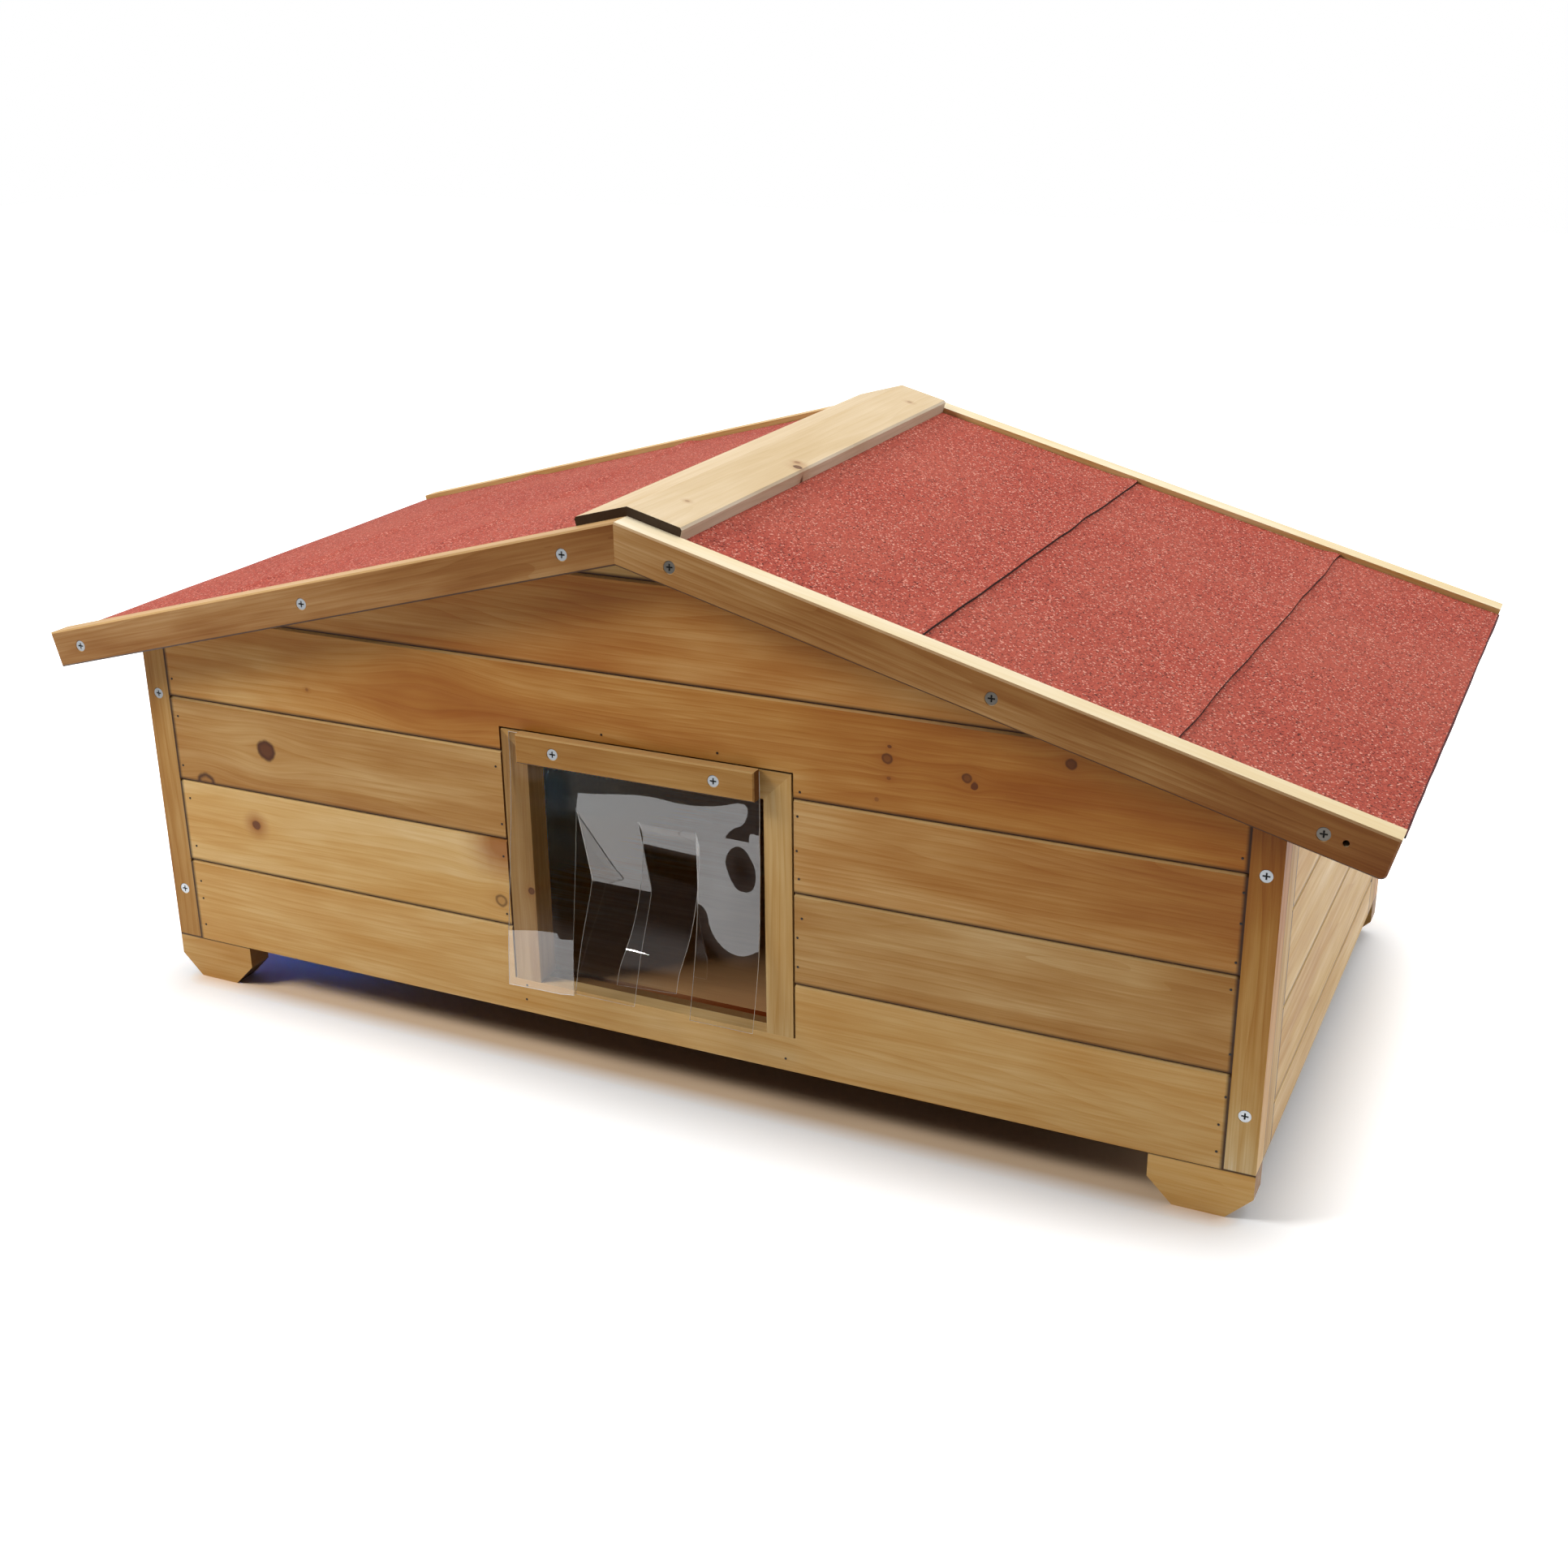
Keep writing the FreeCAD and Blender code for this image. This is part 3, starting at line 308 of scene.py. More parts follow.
    # A knot has a wide warm halo, a brown body and a darker rim.
    for size, (halo, body, rim) in spots:
        around = add(tree, "MapRange", {0: size, 1: 0.8, 2: 3.6, 3: halo, 4: 0.0}).outputs[0]
        around = calc(tree, "POWER", around, 1.5)
        inside = add(tree, "MapRange", {0: size, 1: 0.8, 2: 1.05, 3: body, 4: 0.0}).outputs[0]
        edge = calc(tree, "ABSOLUTE", calc(tree, "SUBTRACT", size, 0.8))
        edge = add(tree, "MapRange", {0: edge, 1: 0.05, 2: 0.32, 3: rim, 4: 0.0}).outputs[0]
        shade = paint(around, HALO, shade)
        shade = paint(inside, KNOT, shade)
        shade = paint(edge, KNOT_RIM, shade)

    # Cut ends drink more stain.
    end_stain, end_strength = ends
    facing = add(tree, "VectorMath", {0: space["Normal"], 1: grain}, operation="DOT_PRODUCT")
    facing = calc(tree, "ABSOLUTE", facing.outputs["Value"])
    sawn = add(tree, "MapRange", {0: facing, 1: 0.75, 2: 0.95, 3: 0.0, 4: end_strength})
    shade = paint(sawn.outputs[0], end_stain, shade)

    gloss = add(tree, "MapRange", {0: streak, 1: -0.3, 2: 0.3, 3: 0.42, 4: 0.62}).outputs[0]
    relief = calc(tree, "MULTIPLY_ADD", fibre, 0.6, calc(tree, "MULTIPLY", ring, 0.5))
    bump = add(tree, "Bump", {"Height": relief, "Strength": 0.25, "Distance": 0.0003})
    wood = add(tree, "BsdfPrincipled", {"Base Color": shade, "Roughness": gloss, "IOR": 1.48,
                                        "Specular IOR Level": 0.25, "Normal": bump.outputs[0]})
    tree.links.new(wood.outputs[0], output.inputs["Surface"])
    return material


def dress(node, material):
    """Gives a CAD node its own material in every slot."""
    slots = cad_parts[node].data.materials
    if len(slots) == 0:
        slots.append(material)
    for index in range(len(slots)):
        slots[index] = material


ALONG_X, ALONG_Y, ALONG_Z = (1, 0, 0), (0, 1, 0), (0, 0, 1)
FRONT, POST_INNER = -0.228, 0.405
WALL_BASE, COURSE, GROOVE_LINE = 0.034, 0.067, 0.0023
# Painted shade: dark lines beside both posts.
POST_SEAMS = [("X", -POST_INNER, GROOVE_LINE), ("X", POST_INNER, GROOVE_LINE)]

# Each board has its seed, its stain, the number of its course, and its knots.
FRONT_BOARDS = {
    "front_board_1": (1.0, "#C59654", 0, []),
    "front_board_2_left": (2.0, "#C99C5A", 1, [((-0.3355, FRONT, 0.1415), 0.004, 0.9, 0.8, 0.0),
                                               ((-0.1191, FRONT, 0.1196), 0.005, 0.3, 0.15, 0.6),
                                               ((-0.116, FRONT, 0.163), 0.011, 0.9, 0.0, 0.0)]),
    "front_board_2_right": (3.0, "#A8783D", 1, []),
    "front_board_3_left": (4.0, "#AB7C41", 2, [((-0.3178, FRONT, 0.2043), 0.0085, 0.1, 0.95, 0.5),
                                               ((-0.3788, FRONT, 0.1689), 0.0085, 0.1, 0.2, 0.85)]),
    "front_board_3_right": (5.0, "#A87032", 2, []),
    "front_board_4": (6.0, "#A96D2B", 3, [((0.1763, FRONT, 0.2731), 0.0038, 0.5, 0.6, 0.5),
                                          ((0.1778, FRONT, 0.2795), 0.0016, 0.5, 0.8, 0.0),
                                          ((0.1775, FRONT, 0.2608), 0.0016, 0.5, 0.5, 0.0),
                                          ((0.1694, FRONT, 0.2446), 0.0016, 0.3, 0.4, 0.0),
                                          ((0.2292, FRONT, 0.2682), 0.0034, 0.5, 0.7, 0.5),
                                          ((0.2342, FRONT, 0.2652), 0.0026, 0.3, 0.9, 0.0),
                                          ((0.2948, FRONT, 0.2875), 0.0038, 0.6, 0.8, 0.3),
                                          ((-0.2741, FRONT, 0.2577), 0.0014, 0.5, 0.4, 0.0),
                                          ((-0.175, FRONT, 0.266), 0.016, 0.12, 0.0, 0.0)]),
    "front_gable_board": (7.0, "#AB6F30", 4, []),
    "front_gable_peak": (8.0, "#A07034", 5, []),
}
# These boards are painted darker towards the right, a painted shade.
DEEPER_RIGHT = {"front_board_3_right": (1.6, 0.27), "front_board_4": (0.35, 0.0),
                "front_board_2_right": (0.5, 0.25)}


def course_seams(course):
    """The dark lines of painted shade on a board: beside both posts, and along the joint under its course.
    """
    joint = [("Z", WALL_BASE + course * COURSE, GROOVE_LINE)] if course else []
    return POST_SEAMS + joint


for node, (seed, stain, course, knots) in FRONT_BOARDS.items():
    dress(node, stained_pine("stained_" + node, ALONG_X, seed, stain, knots,
                             seams=course_seams(course), deepen=DEEPER_RIGHT.get(node, (0.0, 0.0))))

# Nails hold both ends of every board, and the cut ends beside the doorway. Each is a small
# round head, set a little and dark with stain.
NAIL_RADIUS, NAIL_HEIGHT = 0.0009, 0.0006
TWO_NAILS, THREE_NAILS = (0.012, 0.055), (0.011, 0.034, 0.053)
STRAY_X, STRAY_Z = 0.002, 0.003
nail_steel, tree, output = new_material("set_nail_head")
head = add(tree, "BsdfPrincipled", {"Base Color": colour("#1A0F08"), "Roughness": 0.6})
tree.links.new(head.outputs[0], output.inputs["Surface"])
chance = random.Random(5)


def nail_heads(name, places, turn):
    """One object of nail heads at the given places, facing along the turned Z axis."""
    bpy.ops.object.select_all(action="DESELECT")
    made = []
    for place in places:
        bpy.ops.mesh.primitive_cylinder_add(vertices=10, radius=NAIL_RADIUS, depth=NAIL_HEIGHT,
                                            location=place, rotation=turn)
        nail = bpy.context.object
        bpy.ops.object.mode_set(mode="EDIT")
        bpy.ops.mesh.select_all(action="SELECT")
        bpy.ops.mesh.bevel(offset=NAIL_RADIUS / 5, segments=1)
        bpy.ops.object.mode_set(mode="OBJECT")
        made.append(nail)
    for nail in made:
        nail.select_set(True)
    bpy.ops.object.join()
    bpy.ops.object.transform_apply()
    made[-1].name = name
    made[-1].data.materials.append(nail_steel)
    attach(made[-1], "house")
    bpy.ops.object.select_all(action="DESELECT")


def nail_rows(edges, wall, courses):
    """Two or three nails near each edge, in each course of boards."""
    places = []
    for edge in edges:
        for course in courses:
            for row in TWO_NAILS if chance.random() < 0.5 else THREE_NAILS:
                x = edge + chance.uniform(-STRAY_X, STRAY_X)
                z = WALL_BASE + course * COURSE + row + chance.uniform(-STRAY_Z, STRAY_Z)
                places.append((x, wall, z))
    return places


FACING_FRONT = (math.pi / 2, 0, 0)
FRONT_ENDS, REAR_ENDS, BESIDE_DOOR = (-0.399, 0.401), (-0.4, 0.4), (-0.1155, 0.1155)
front_nails = nail_rows(FRONT_ENDS, FRONT, (0, 1, 2, 3))
front_nails += nail_rows(BESIDE_DOOR, FRONT, (1, 2))

# A few single nails hold the boards above and below the doorway.
front_nails += [(-0.030, FRONT, 0.259), (0.057, FRONT, 0.259), (-0.102, FRONT, 0.0556),
                (-0.103, FRONT, 0.044), (0.104, FRONT, 0.043), (0.116, FRONT, 0.241)]
nail_heads("front_nails", front_nails, FACING_FRONT)


# Rear wall
# The same six courses with no doorway.
REAR_STAINS = ("#BD8F52", "#A87A42", "#A0672C")
for course, name in enumerate(("board_1", "board_2", "board_3", "board_4", "gable_board", "gable_peak")):
    dress("rear_" + name, stained_pine("stained_rear_" + name, ALONG_X, 11.0 + course,
                                       REAR_STAINS[course % 3], seams=course_seams(course)))
nail_heads("rear_nails", nail_rows(REAR_ENDS, -FRONT, (0, 1, 2, 3)), FACING_FRONT)


# Corner posts and side walls
# Square battens cover the corners, with side posts behind them. The side boards run from one
# side post to the other.
POST_BACK, SIDE_BOARD_END = 0.208, 0.186
# Painted shade: dark lines where each post meets its foot, and two along the side posts.
POST_FOOT_LINE, POST_JOINT_LINE = 0.0006, 0.0009
POSTS = {"front_post_left": "#9D6B2D", "front_post_right": "#A36D2B", "rear_post_left": "#9D6D32",
         "rear_post_right": "#A06E35", "side_posts": "#A57D3E"}
# The right front post is painted darker towards its top, a painted shade.
for number, (name, stain) in enumerate(POSTS.items()):
    seams = [("Z", WALL_BASE, POST_FOOT_LINE)]
    if name == "side_posts":
        seams += [("Y", -POST_BACK, POST_JOINT_LINE), ("Y", POST_BACK, POST_JOINT_LINE)]
    dress(name, stained_pine("stained_" + name, ALONG_Z, 21.0 + number, stain, seams=seams,
                             deepen=(4.0, 0.15) if name == "front_post_right" else (0.0, 0.0)))
# Painted shade: dark lines at both ends of each side board and along the joint under it.
for number in range(4):
    for side in ("left", "right"):
        name = f"{side}_side_board_{number + 1}"
        seams = [("Y", -SIDE_BOARD_END, GROOVE_LINE), ("Y", SIDE_BOARD_END, GROOVE_LINE)]
        if number:
            seams.append(("Z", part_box(name)[0][2], GROOVE_LINE))
        dress(name, stained_pine("stained_" + name, ALONG_Y, 31.0 + 2 * number + (side == "left"),
                                 "#B99150", seams=seams))
dress("eaves_rails", stained_pine("stained_eaves_rails", ALONG_Y, 41.0, "#A98348"))


# Inside
# The floor panel and the laths are pine. The floor panel is painted darker towards the right,
# a painted shade inside the closed box.
dress("floor_panel", stained_pine("raw_floor_panel", ALONG_X, 43.0, "#A35C31", deepen=(6.0, 0.0)))
dress("inner_laths", stained_pine("raw_inner_laths", ALONG_Z, 44.0, "#B98A50"))


# Feet
# Offcuts of thick board with both lower corners sawn off.
# Painted shade: a dark line along each foot where the wall meets it.
FOOT_LINE = 0.0008
FEET = {"front_left": "#C19455", "front_right": "#D6A863", "rear_left": "#C59856", "rear_right": "#C59856"}
for number, (name, stain) in enumerate(FEET.items()):
    dress("foot_" + name, stained_pine("stained_foot_" + name, ALONG_X, 51.0 + number, stain,
                                       seams=[("Z", WALL_BASE, FOOT_LINE)]))


# Door frame
# Two jambs and a head of square batten, and the strip that clamps the curtain, all planed and
# stained. The left jamb has a small knot.
JAMB_KNOT = ((-0.0931, FRONT, 0.1321), 0.0028, 0.4, 0.8, 0.4)
DOOR_FRAME = {"door_jamb_left": (ALONG_Z, "#9C7644", [JAMB_KNOT]),
              "door_jamb_right": (ALONG_Z, "#C0975A", []),
              "door_head": (ALONG_X, "#B08448", []),
              "curtain_clamp": (ALONG_X, "#A6773A", [])}
for number, (name, (grain, stain, knots)) in enumerate(DOOR_FRAME.items()):
    dress(name, stained_pine("stained_" + name, grain, 61.0 + number, stain, knots))


# Roof
# The deck is plain board under the felt. Fascias are planed boards; on the right their top edge
# is painted pale, a painted highlight, and they are painted darker towards the eaves, a painted
# shade. Two pale boards cover the ridge.
PITCH = math.radians(15)
RIGHT_SLOPE = (math.cos(PITCH), 0, -math.sin(PITCH))
LEFT_SLOPE = (math.cos(PITCH), 0, math.sin(PITCH))
RIDGE_KNOTS = [((0.0345, -0.050, 0.4098), 0.0034, 0.5, 0.8, 0.5),
               ((0.031, -0.041, 0.4105), 0.0022, 0.6, 0.4, 0.0),
               ((0.0188, -0.1875, 0.4137), 0.0016, 0.5, 0.3, 0.0),
               ((0.0224, 0.1947, 0.4127), 0.002, 0.5, 0.3, 0.0)]
RIDGE_STAIN, RIDGE_ENDS, DECK_STAIN, REAR_FASCIA = "#BCAB90", ("#2E1A0C", 0.95), "#C9A66C", "#BE9658"

# Each side has its slope, the stain, the painted pale top and the painted darkening of its
# fascias, and its ridge's knots.
ROOF_SIDES = {"left": (LEFT_SLOPE, "#906030", None, (0.0, 0.0), []),
              "right": (RIGHT_SLOPE, "#885422", "#E7D3A8", (0.8, 0.3), RIDGE_KNOTS)}
for number, (side, (slope, front_fascia, top, deepen, knots)) in enumerate(ROOF_SIDES.items()):
    dress("roof_deck_" + side, stained_pine("raw_roof_deck_" + side, slope, 71.0 + number, DECK_STAIN,
                                            lying=True))
    for row, (name, stain) in enumerate((("fascia_front_", front_fascia), ("fascia_rear_", REAR_FASCIA))):
        dress(name + side, stained_pine("stained_" + name + side, slope, 73.0 + number + 2 * row,
                                        stain, top=top, deepen=deepen))
    dress("ridge_board_" + side, stained_pine("pale_ridge_" + side, ALONG_Y, 81.0 + number, RIDGE_STAIN,
                                              knots, lying=True, ends=RIDGE_ENDS))


# Felt
# Bitumen felt, 2 mm thick, with baked-on red mineral granules. Three lengths on each slope
# lap downwards, so the cut lower edge of each shows as a dark, slightly wavy line.
FELT_HALF_DEPTH, FELT_THICK, FELT_STEP = 0.2335, 0.002, 0.004
ROOF_PEAK, FELT_DROP, FELT_END = 0.412476, 0.004, 0.5090
LAP_PAST, LAP_RISE, LAP_RUN = 0.005, 0.0021, 0.016
RAGGED, FELT_SWELL, FLAT_AT_RIDGE = 0.0012, 0.0004, 0.05
EAVES_LINE, EAVES_FADE = 0.4892, 0.0004
SMOOTH_ANGLE = math.radians(40)
GRANULES_PER_METRE, CLOUDS_PER_METRE = 960.0, 9.0

# How far down the slope each length starts, at the front and at the rear, and how far down it
# ends, again at the front and at the rear.
FELT_COURSES = {
    "upper": (0.0, 0.0, 0.2010, 0.2076),
    "middle": (0.2010, 0.2076, 0.3663, 0.3773),
    "lower": (0.3663, 0.3773, FELT_END, FELT_END),
}


def granule_felt(name):
    """Red granules about 1 mm across, among paler and darker ones. The cut ends of the felt
    show as thin dark lines along the eaves."""
    material, tree, output = new_material(name)
    space = add(tree, "TexCoord").outputs["Object"]
    grain = add(tree, "TexVoronoi", {"Vector": space, "Scale": GRANULES_PER_METRE})
    pick = add(tree, "SeparateColor", {0: grain.outputs["Color"]}).outputs
    cloud = add(tree, "TexNoise", {"Vector": space, "Scale": CLOUDS_PER_METRE, "Detail": 4.0})
    base = add(tree, "Mix", {0: pick[0], 6: colour("#953B30"), 7: colour("#B85644")}, data_type="RGBA")
    pale = calc(tree, "GREATER_THAN", pick[1], 0.92)
    shade = add(tree, "Mix", {0: pale, 6: base.outputs[2], 7: colour("#DB9A88")}, data_type="RGBA")
    dark = calc(tree, "GREATER_THAN", pick[2], 0.9)
    shade = add(tree, "Mix", {0: dark, 6: shade.outputs[2], 7: colour("#5A221B")}, data_type="RGBA")
    dusty = add(tree, "MapRange", {0: cloud.outputs["Fac"], 1: 0.4, 2: 0.8, 3: 0.0, 4: 0.3}).outputs[0]
    shade = add(tree, "Mix", {0: dusty, 6: shade.outputs[2], 7: colour("#BC6C58")}, data_type="RGBA")
    out = calc(tree, "ABSOLUTE", add(tree, "SeparateXYZ", {0: space}).outputs["X"])
    cut = add(tree, "MapRange", {0: out, 1: EAVES_LINE, 2: EAVES_LINE + EAVES_FADE, 3: 0.0, 4: 0.85})
    cut = cut.outputs[0]
    shade = add(tree, "Mix", {0: cut, 6: shade.outputs[2], 7: colour("#2A1A22")}, data_type="RGBA")
    bump = add(tree, "Bump", {"Height": grain.outputs["Distance"], "Strength": 0.6, "Distance": 0.0006},
               invert=True)
    felt = add(tree, "BsdfPrincipled", {"Base Color": shade.outputs[2], "Roughness": 0.85,
                                        "Normal": bump.outputs[0]})
    tree.links.new(felt.outputs[0], output.inputs["Surface"])
    return material


red_felt = granule_felt("granule_felt")

# A cut edge shows the bitumen between the granules, black and dull.
bitumen, tree, output = new_material("cut_bitumen")
tar = add(tree, "BsdfPrincipled", {"Base Color": colour("#1A1516"), "Roughness": 0.7})
tree.links.new(tar.outputs[0], output.inputs["Surface"])


def felt_sheet(name, sign, reaches):
    """One length of felt on the right (1) or left (-1) slope. All but the lowest rise over the
    next one and end past it."""
    start_front, start_rear, end_front, end_rear = reaches
    across = max(end_front, end_rear) - min(start_front, start_rear)
    bpy.ops.mesh.primitive_grid_add(x_subdivisions=round(across / FELT_STEP),
                                    y_subdivisions=round(2 * FELT_HALF_DEPTH / FELT_STEP), size=1)
    sheet = bpy.context.object
    sheet.name = name
    lapped = end_front < FELT_END
    for vertex in sheet.data.vertices:
        share, y = vertex.co.x + 0.5, 2 * FELT_HALF_DEPTH * vertex.co.y
        toward = vertex.co.y + 0.5
        start = start_front + (start_rear - start_front) * toward
        end = end_front + (end_rear - end_front) * toward
        ragged = noise.noise(Vector((end_front * 9, y * 26, sign))) * RAGGED
        reach = start + (end + (ragged + LAP_PAST if lapped else ragged * 0.4) - start) * share
        swell = noise.noise(Vector((sign * reach * 11, y * 11, 2.0))) * FELT_SWELL
        lift = 0.0
        if lapped:
            lift = LAP_RISE * min(1.0, max(0.0, 1 + (reach - end) / LAP_RUN)) ** 2
        normal_drop = FELT_DROP - lift - swell * min(1.0, reach / FLAT_AT_RIDGE)
        x = reach * math.cos(PITCH) - normal_drop * math.sin(PITCH)
        z = ROOF_PEAK - reach * math.sin(PITCH) - normal_drop * math.cos(PITCH)
        vertex.co = (sign * max(x, 0.0), y, z)
    if sign < 0:
        sheet.data.flip_normals()
    thick = sheet.modifiers.new("thick", "SOLIDIFY")
    thick.thickness, thick.offset = FELT_THICK, -1
    thick.material_offset_rim = 1
    sheet.data.materials.append(red_felt)
    sheet.data.materials.append(bitumen)
    bpy.ops.object.modifier_apply(modifier="thick")
    bpy.ops.object.shade_smooth_by_angle(angle=SMOOTH_ANGLE)
    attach(sheet, "roof")
    bpy.ops.object.select_all(action="DESELECT")
    return sheet


for course, reaches in FELT_COURSES.items():
    for side, sign in (("left", -1), ("right", 1)):
        sheet = felt_sheet(f"felt_sheet_{course}_{side}", sign, reaches)
        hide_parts(f"felt_{course}_{side}")


# Screws
# Zinc-plated steel, countersunk, with a cross recess. The plating is pale, with a faint mottle
# that blurs what it mirrors. The screws of the right fascias are painted darker, a painted shade.
SHADED_ZINC, MOTTLES_PER_METRE = "#857F76", 700.0
for node, finish, plating, painted_shade in (("house_screws", "zinc_plated_steel", "#BEC3C8", 0.0),
                                    ("roof_screws", "roof_zinc_shaded_right", "#D6DBE0", 1.0)):
    material, tree, output = new_material(finish)
    space = add(tree, "TexCoord").outputs["Object"]
    mottle = add(tree, "TexNoise", {"Vector": space, "Scale": MOTTLES_PER_METRE, "Detail": 3.0})
    gloss = add(tree, "MapRange", {0: mottle.outputs["Fac"], 3: 0.22, 4: 0.42}).outputs[0]
    # Painted shade: right of the ridge, the roof's screws take the darker colour.
    on_right = calc(tree, "GREATER_THAN", add(tree, "SeparateXYZ", {0: space}).outputs["X"], 0.0)
    shade = add(tree, "Mix", {0: calc(tree, "MULTIPLY", on_right, painted_shade), 6: colour(plating),
                              7: colour(SHADED_ZINC)}, data_type="RGBA").outputs[2]
    zinc = add(tree, "BsdfPrincipled", {"Base Color": shade, "Metallic": 0.4, "Roughness": gloss})
    tree.links.new(zinc.outputs[0], output.inputs["Surface"])
    dress(node, material)

# The floor of each cross recess holds a thin dark cross, which is painted shade.
CROSS_SPAN, CROSS_WIDTH, CROSS_THICK = 0.0045, 0.001, 0.0002
FASCIA_SCREW_DROP = 0.014
recess_shade, tree, output = new_material("painted_recess_shade")
recess_shade_surface = add(tree, "BsdfPrincipled", {"Base Color": colour("#15130F"), "Roughness": 0.9})
tree.links.new(recess_shade_surface.outputs[0], output.inputs["Surface"])


def recess_floors(name, body, places):
    """One object of thin dark crosses of painted shade, one at each place. A cross is an upright
    grid of three by three faces without its corners."""
    bpy.ops.mesh.primitive_grid_add(x_subdivisions=3, y_subdivisions=3, size=1)
    crosses = [bpy.context.object]
    for vertex in crosses[0].data.vertices:
        across, up = (math.copysign(CROSS_SPAN if abs(share) > 1 / 3 else CROSS_WIDTH, share) / 2
                      for share in vertex.co.xy)
        vertex.co = (across, 0, up)
    bpy.ops.object.mode_set(mode="EDIT")
    bpy.ops.mesh.select_mode(type="FACE")
    bpy.ops.mesh.select_all(action="DESELECT")
    bpy.ops.object.mode_set(mode="OBJECT")
    for face in crosses[0].data.polygons:
        face.select = min(abs(face.center.x), abs(face.center.z)) > CROSS_WIDTH / 2
    bpy.ops.object.mode_set(mode="EDIT")
    bpy.ops.mesh.delete(type="FACE")
    bpy.ops.object.mode_set(mode="OBJECT")
    thick = crosses[0].modifiers.new("thick", "SOLIDIFY")
    thick.thickness = CROSS_THICK
    bpy.ops.object.modifier_apply(modifier="thick")
    crosses[0].data.materials.append(recess_shade)
    crosses[0].location = places[0]
    for place in places[1:]:
        bpy.ops.object.duplicate()
        crosses.append(bpy.context.object)
        crosses[-1].location = place
    for cross in crosses:
        cross.select_set(True)
    bpy.ops.object.join()
    bpy.ops.object.transform_apply()
    crosses[-1].name = name
    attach(crosses[-1], body)
    bpy.ops.object.select_all(action="DESELECT")


# The recesses lie just under the faces of the posts, the clamp strip and the fascias. The last
# screw of the right front fascia stands further from its end, beside the spare hole.
WALL_RECESS, CLAMP_RECESS, FASCIA_RECESS = 0.2273, -0.2363, 0.2513
POST_SCREW, POST_SCREW_LOW, POST_SCREW_HIGH = 0.415, 0.0745, 0.236
FASCIA_SCREWS, END_SCREW, SHORT_END_SCREW = [0.044, 0.264], 0.482, 0.468
house_recesses = [(-0.064, CLAMP_RECESS, 0.2425), (0.058, CLAMP_RECESS, 0.2425)]
house_recesses += [(x, y, z) for x in (-POST_SCREW, POST_SCREW) for y in (-WALL_RECESS, WALL_RECESS)
                   for z in (POST_SCREW_LOW, POST_SCREW_HIGH)]
roof_recesses = []
for sign in (-1, 1):
    for wall in (-FASCIA_RECESS, FASCIA_RECESS):
        last = SHORT_END_SCREW if sign > 0 and wall < 0 else END_SCREW
        for reach in FASCIA_SCREWS + [last]:
            x = reach * math.cos(PITCH) - FASCIA_SCREW_DROP * math.sin(PITCH)
            z = ROOF_PEAK - reach * math.sin(PITCH) - FASCIA_SCREW_DROP * math.cos(PITCH)
            roof_recesses.append((sign * x, wall, z))
recess_floors("house_screw_recesses", "house", house_recesses)
recess_floors("roof_screw_recesses", "roof", roof_recesses)


# Curtain
# One sheet of soft clear vinyl, 0.8 mm thick, is held under the clamp strip and slit into four
# strips. They have curled: the second bows inwards halfway down, and the third hangs furthest out.
SHEET_MIDDLE, SHEET_THICK, SHEET_STEP = -0.2286, 0.0008, 0.002
SHEET_LEFT, FIRST_SLIT, SHEET_RIGHT = -0.1035, -0.052, 0.0875
SLIT_TOP, CLAMP_BOTTOM = 0.200, 0.232

# Each strip has its left and right edges and its twist in metres, and its curve from the top
# down in mm: how far it lies inwards of the flat sheet, and how high.
HEADER_CURVE = [(0, 251), (0, 240), (0, 230), (0, 220), (0, 210), (0, 200)]
STRIPS = {
    "1": (SHEET_LEFT, -0.0523, 0.0016, [(0, 200), (-2.5, 180), (-8.2, 140), (-14, 100), (-16.5, 66)]),
    "2": (-0.0517, -0.0043, 0.0, [(0, 200), (4, 186), (12, 156), (15, 144), (14, 139), (9, 127),
                                  (-1, 106), (-8, 88), (-15, 67)]),
    "3": (-0.0037, 0.0392, 0.005, [(0, 200), (4, 192), (5.5, 186), (5, 176), (2.5, 162), (-1, 150),
                                   (-6, 138), (-13, 126), (-22, 115.5), (-30.5, 106.5), (-35.5, 95)]),
    "4": (0.0398, SHEET_RIGHT, 0.0, [(0, 200), (0.5, 182), (0.9, 166), (0.6, 154), (-0.8, 141),
                                     (-4.2, 120), (-9.5, 95), (-16.5, 67)]),
}

# Places where the sheet bellies out: x, z, the reach each way, and the depth, all in metres.
BELLIES = [(0.073, 0.158, 0.020, 0.028, 0.0042), (0.094, 0.203, 0.012, 0.018, 0.0013),
           (-0.088, 0.232, 0.012, 0.009, 0.0022)]

# The vinyl doesn't refract. Its outer face mirrors for both faces, held down at grazing
# angles, and its level rims don't mirror at all.
FACES_MIRRORED, MOST_SHINE, LEVEL = 2.0, 0.12, 0.85
clear_vinyl, tree, output = new_material("clear_vinyl")
surface = add(tree, "NewGeometry").outputs
upright = calc(tree, "ABSOLUTE", add(tree, "SeparateXYZ", {0: surface["Normal"]}).outputs["Z"])
outside = calc(tree, "MULTIPLY", surface["Backfacing"], FACES_MIRRORED)
outside = calc(tree, "SUBTRACT", FACES_MIRRORED, outside)
outside = calc(tree, "MULTIPLY", outside, calc(tree, "LESS_THAN", upright, LEVEL))
shine = add(tree, "Fresnel", {"IOR": 1.54}).outputs[0]
shine = calc(tree, "MULTIPLY", calc(tree, "MINIMUM", shine, MOST_SHINE), outside)
clear = add(tree, "BsdfTransparent")
mirror = add(tree, "BsdfGlossy", {"Color": colour("#FFFFFF"), "Roughness": 0.0})
mixed = add(tree, "MixShader", {0: shine, 1: clear.outputs[0], 2: mirror.outputs[0]})
tree.links.new(mixed.outputs[0], output.inputs["Surface"])

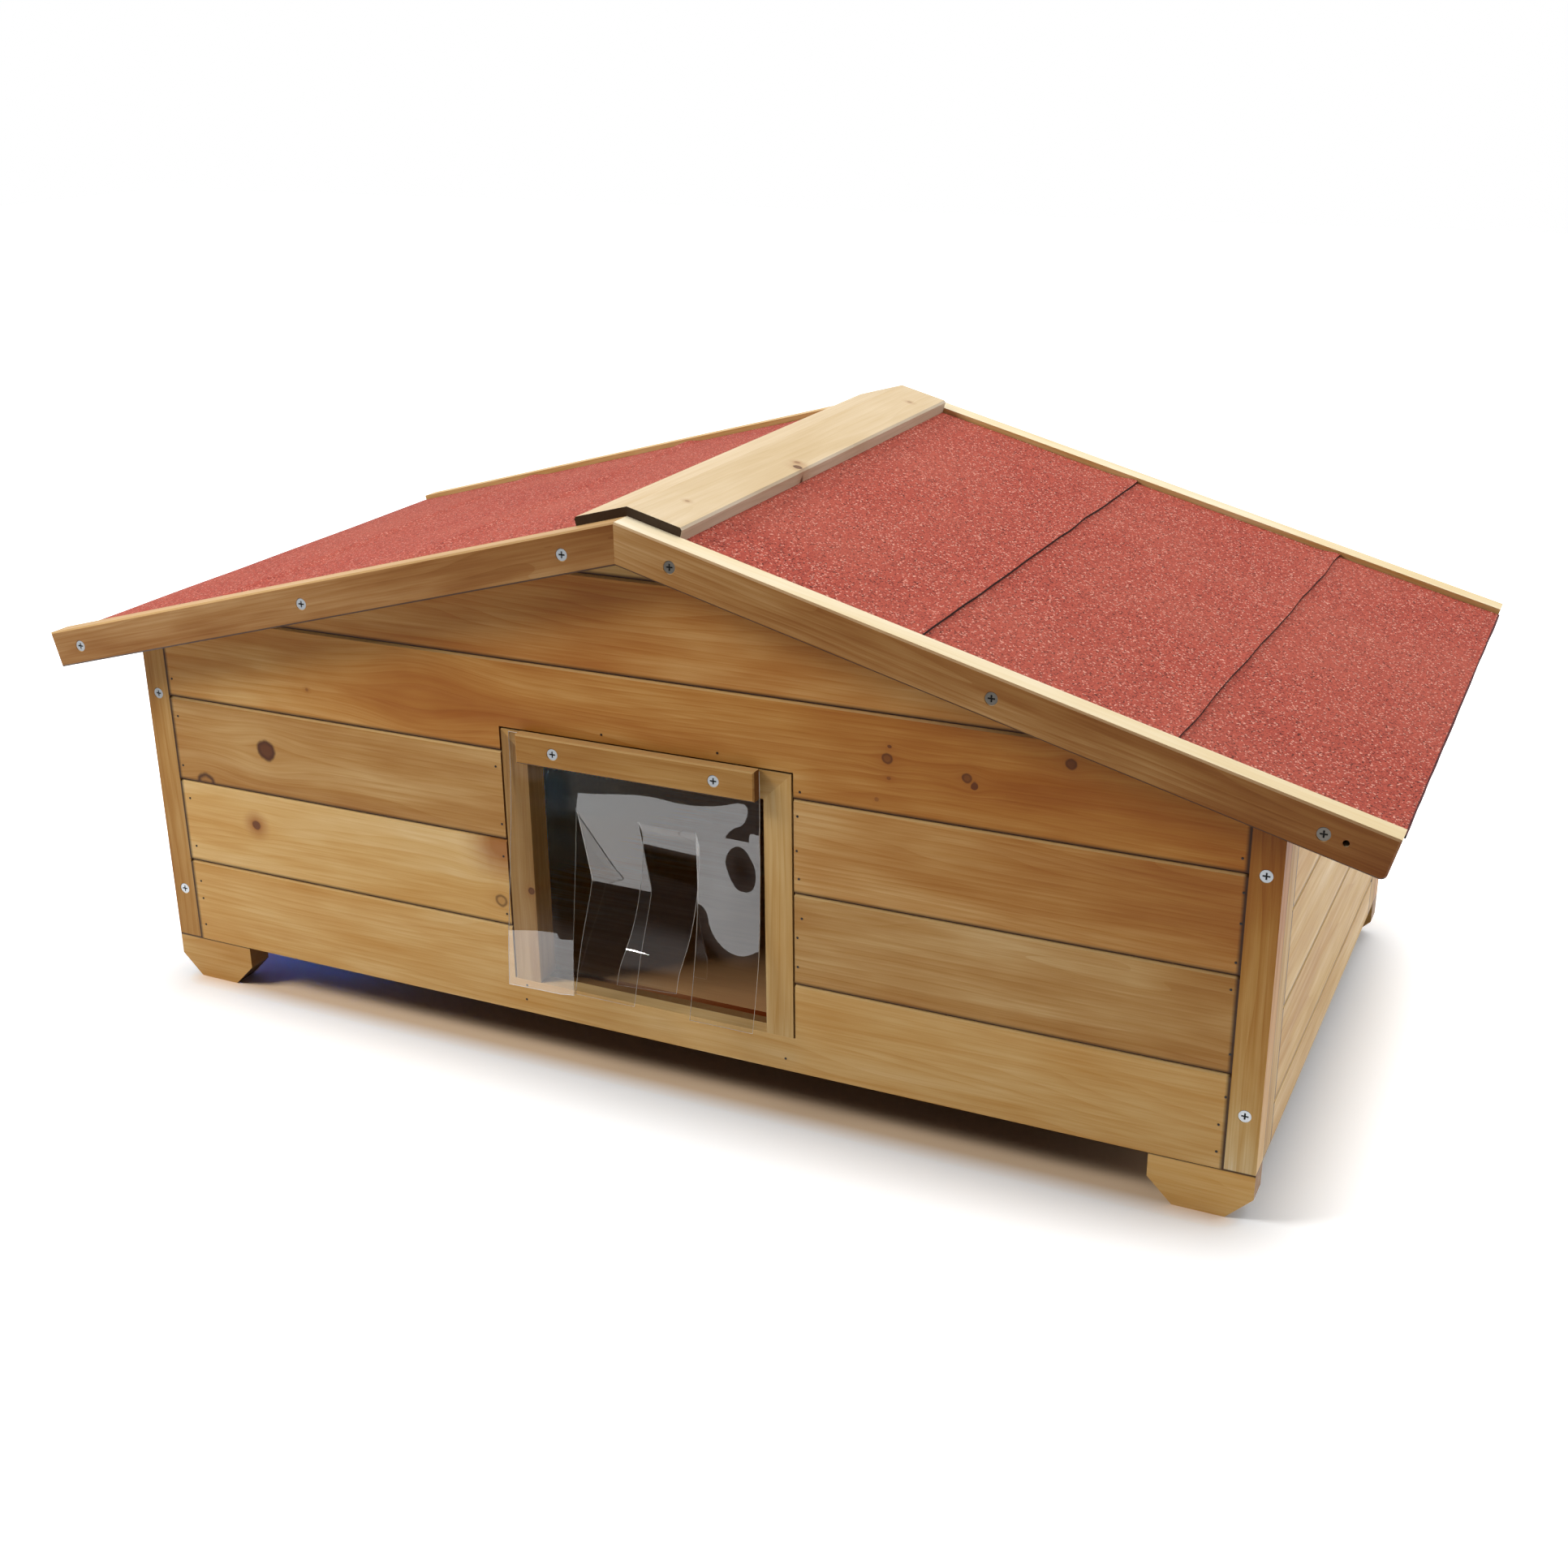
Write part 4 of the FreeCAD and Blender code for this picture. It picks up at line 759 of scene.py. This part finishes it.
# A cut edge is slightly rough, so it catches the light as a pale line.
cut_vinyl, tree, output = new_material("cut_vinyl_edge")
milky = add(tree, "BsdfPrincipled", {"Base Color": colour("#F2F4F4"), "Roughness": 0.4})
tree.links.new(milky.outputs[0], output.inputs["Surface"])


def along_curve(points, share):
    """A point on a smooth curve through the given points, at a share of its point count."""
    place = share * (len(points) - 1)
    index = min(int(place), len(points) - 2)
    before, start, end, after = (Vector(points[min(max(index + step, 0), len(points) - 1)])
                                 for step in (-1, 0, 1, 2))
    part = place - index
    run = end - before
    bend = 2 * before - 5 * start + 4 * end - after
    turn = 3 * start - before - 3 * end + after
    return (2 * start + run * part + bend * part * part + turn * part ** 3) / 2


SHEET_SWELL, HELD_ABOVE, FREE_RUN = 0.0003, 0.008, 0.03
TURN_OUT, TURN_RUN = 0.0022, 0.010


def ripple(x, z):
    """How far the sheet stands off its flat plane, because it is soft. The clamp strip holds it
    flat, and left of the first slit it turns outwards."""
    free = min(1.0, max(0.0, (CLAMP_BOTTOM + HELD_ABOVE - z) / FREE_RUN))
    swell = noise.noise(Vector((x * 18, z * 14, 3.0))) * SHEET_SWELL
    for middle, height, wide, tall, deep in BELLIES:
        swell -= deep * math.exp(-((x - middle) / wide) ** 2 - ((z - height) / tall) ** 2)
    turned = min(1.0, max(0.0, (FIRST_SLIT - x) / TURN_RUN))
    swell -= TURN_OUT * turned * min(1.0, max(0.0, (CLAMP_BOTTOM - z) / (CLAMP_BOTTOM - SLIT_TOP)))
    return free * swell


def vinyl_piece(name, left, right, twist, curve):
    """A bent sheet between two upright edges. The curve gives its depth and height in mm. Its
    lower left corner hangs outside that by half of the twist, and its right one inside."""
    tall = sum((Vector(upper) - Vector(lower)).length for upper, lower in zip(curve, curve[1:])) / 1000
    bpy.ops.mesh.primitive_grid_add(x_subdivisions=round((right - left) / SHEET_STEP),
                                    y_subdivisions=round(tall / SHEET_STEP), size=1)
    piece = bpy.context.object
    piece.name = name
    for vertex in piece.data.vertices:
        depth, height = along_curve(curve, 0.5 - vertex.co.y) / 1000
        x = left + (right - left) * (vertex.co.x + 0.5)
        depth += twist * vertex.co.x * (0.5 - vertex.co.y) ** 2
        vertex.co = (x, SHEET_MIDDLE + depth + ripple(x, height), height)
    thick = piece.modifiers.new("thick", "SOLIDIFY")
    thick.thickness, thick.offset = SHEET_THICK, 0
    thick.material_offset_rim = 1
    piece.data.materials.append(clear_vinyl)
    piece.data.materials.append(cut_vinyl)
    bpy.ops.object.modifier_apply(modifier="thick")

    # No cut edge shows at the top of the slits, where the strips and the band are one sheet.
    for face in piece.data.polygons:
        if abs(face.normal.z) > 0.8 and abs(face.center.z - SLIT_TOP) < SHEET_THICK:
            face.material_index = 0
    bpy.ops.object.shade_smooth_by_angle(angle=SMOOTH_ANGLE)
    bpy.ops.object.select_all(action="DESELECT")
    return piece


header = vinyl_piece("vinyl_header", SHEET_LEFT, SHEET_RIGHT, 0.0, HEADER_CURVE)
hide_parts("curtain_header")
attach(header, "house")
for number, (left, right, twist, curve) in STRIPS.items():
    strip = vinyl_piece("vinyl_strip_" + number, left, right, twist, curve)
    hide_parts("curtain_strip_" + number)
    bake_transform(strip)
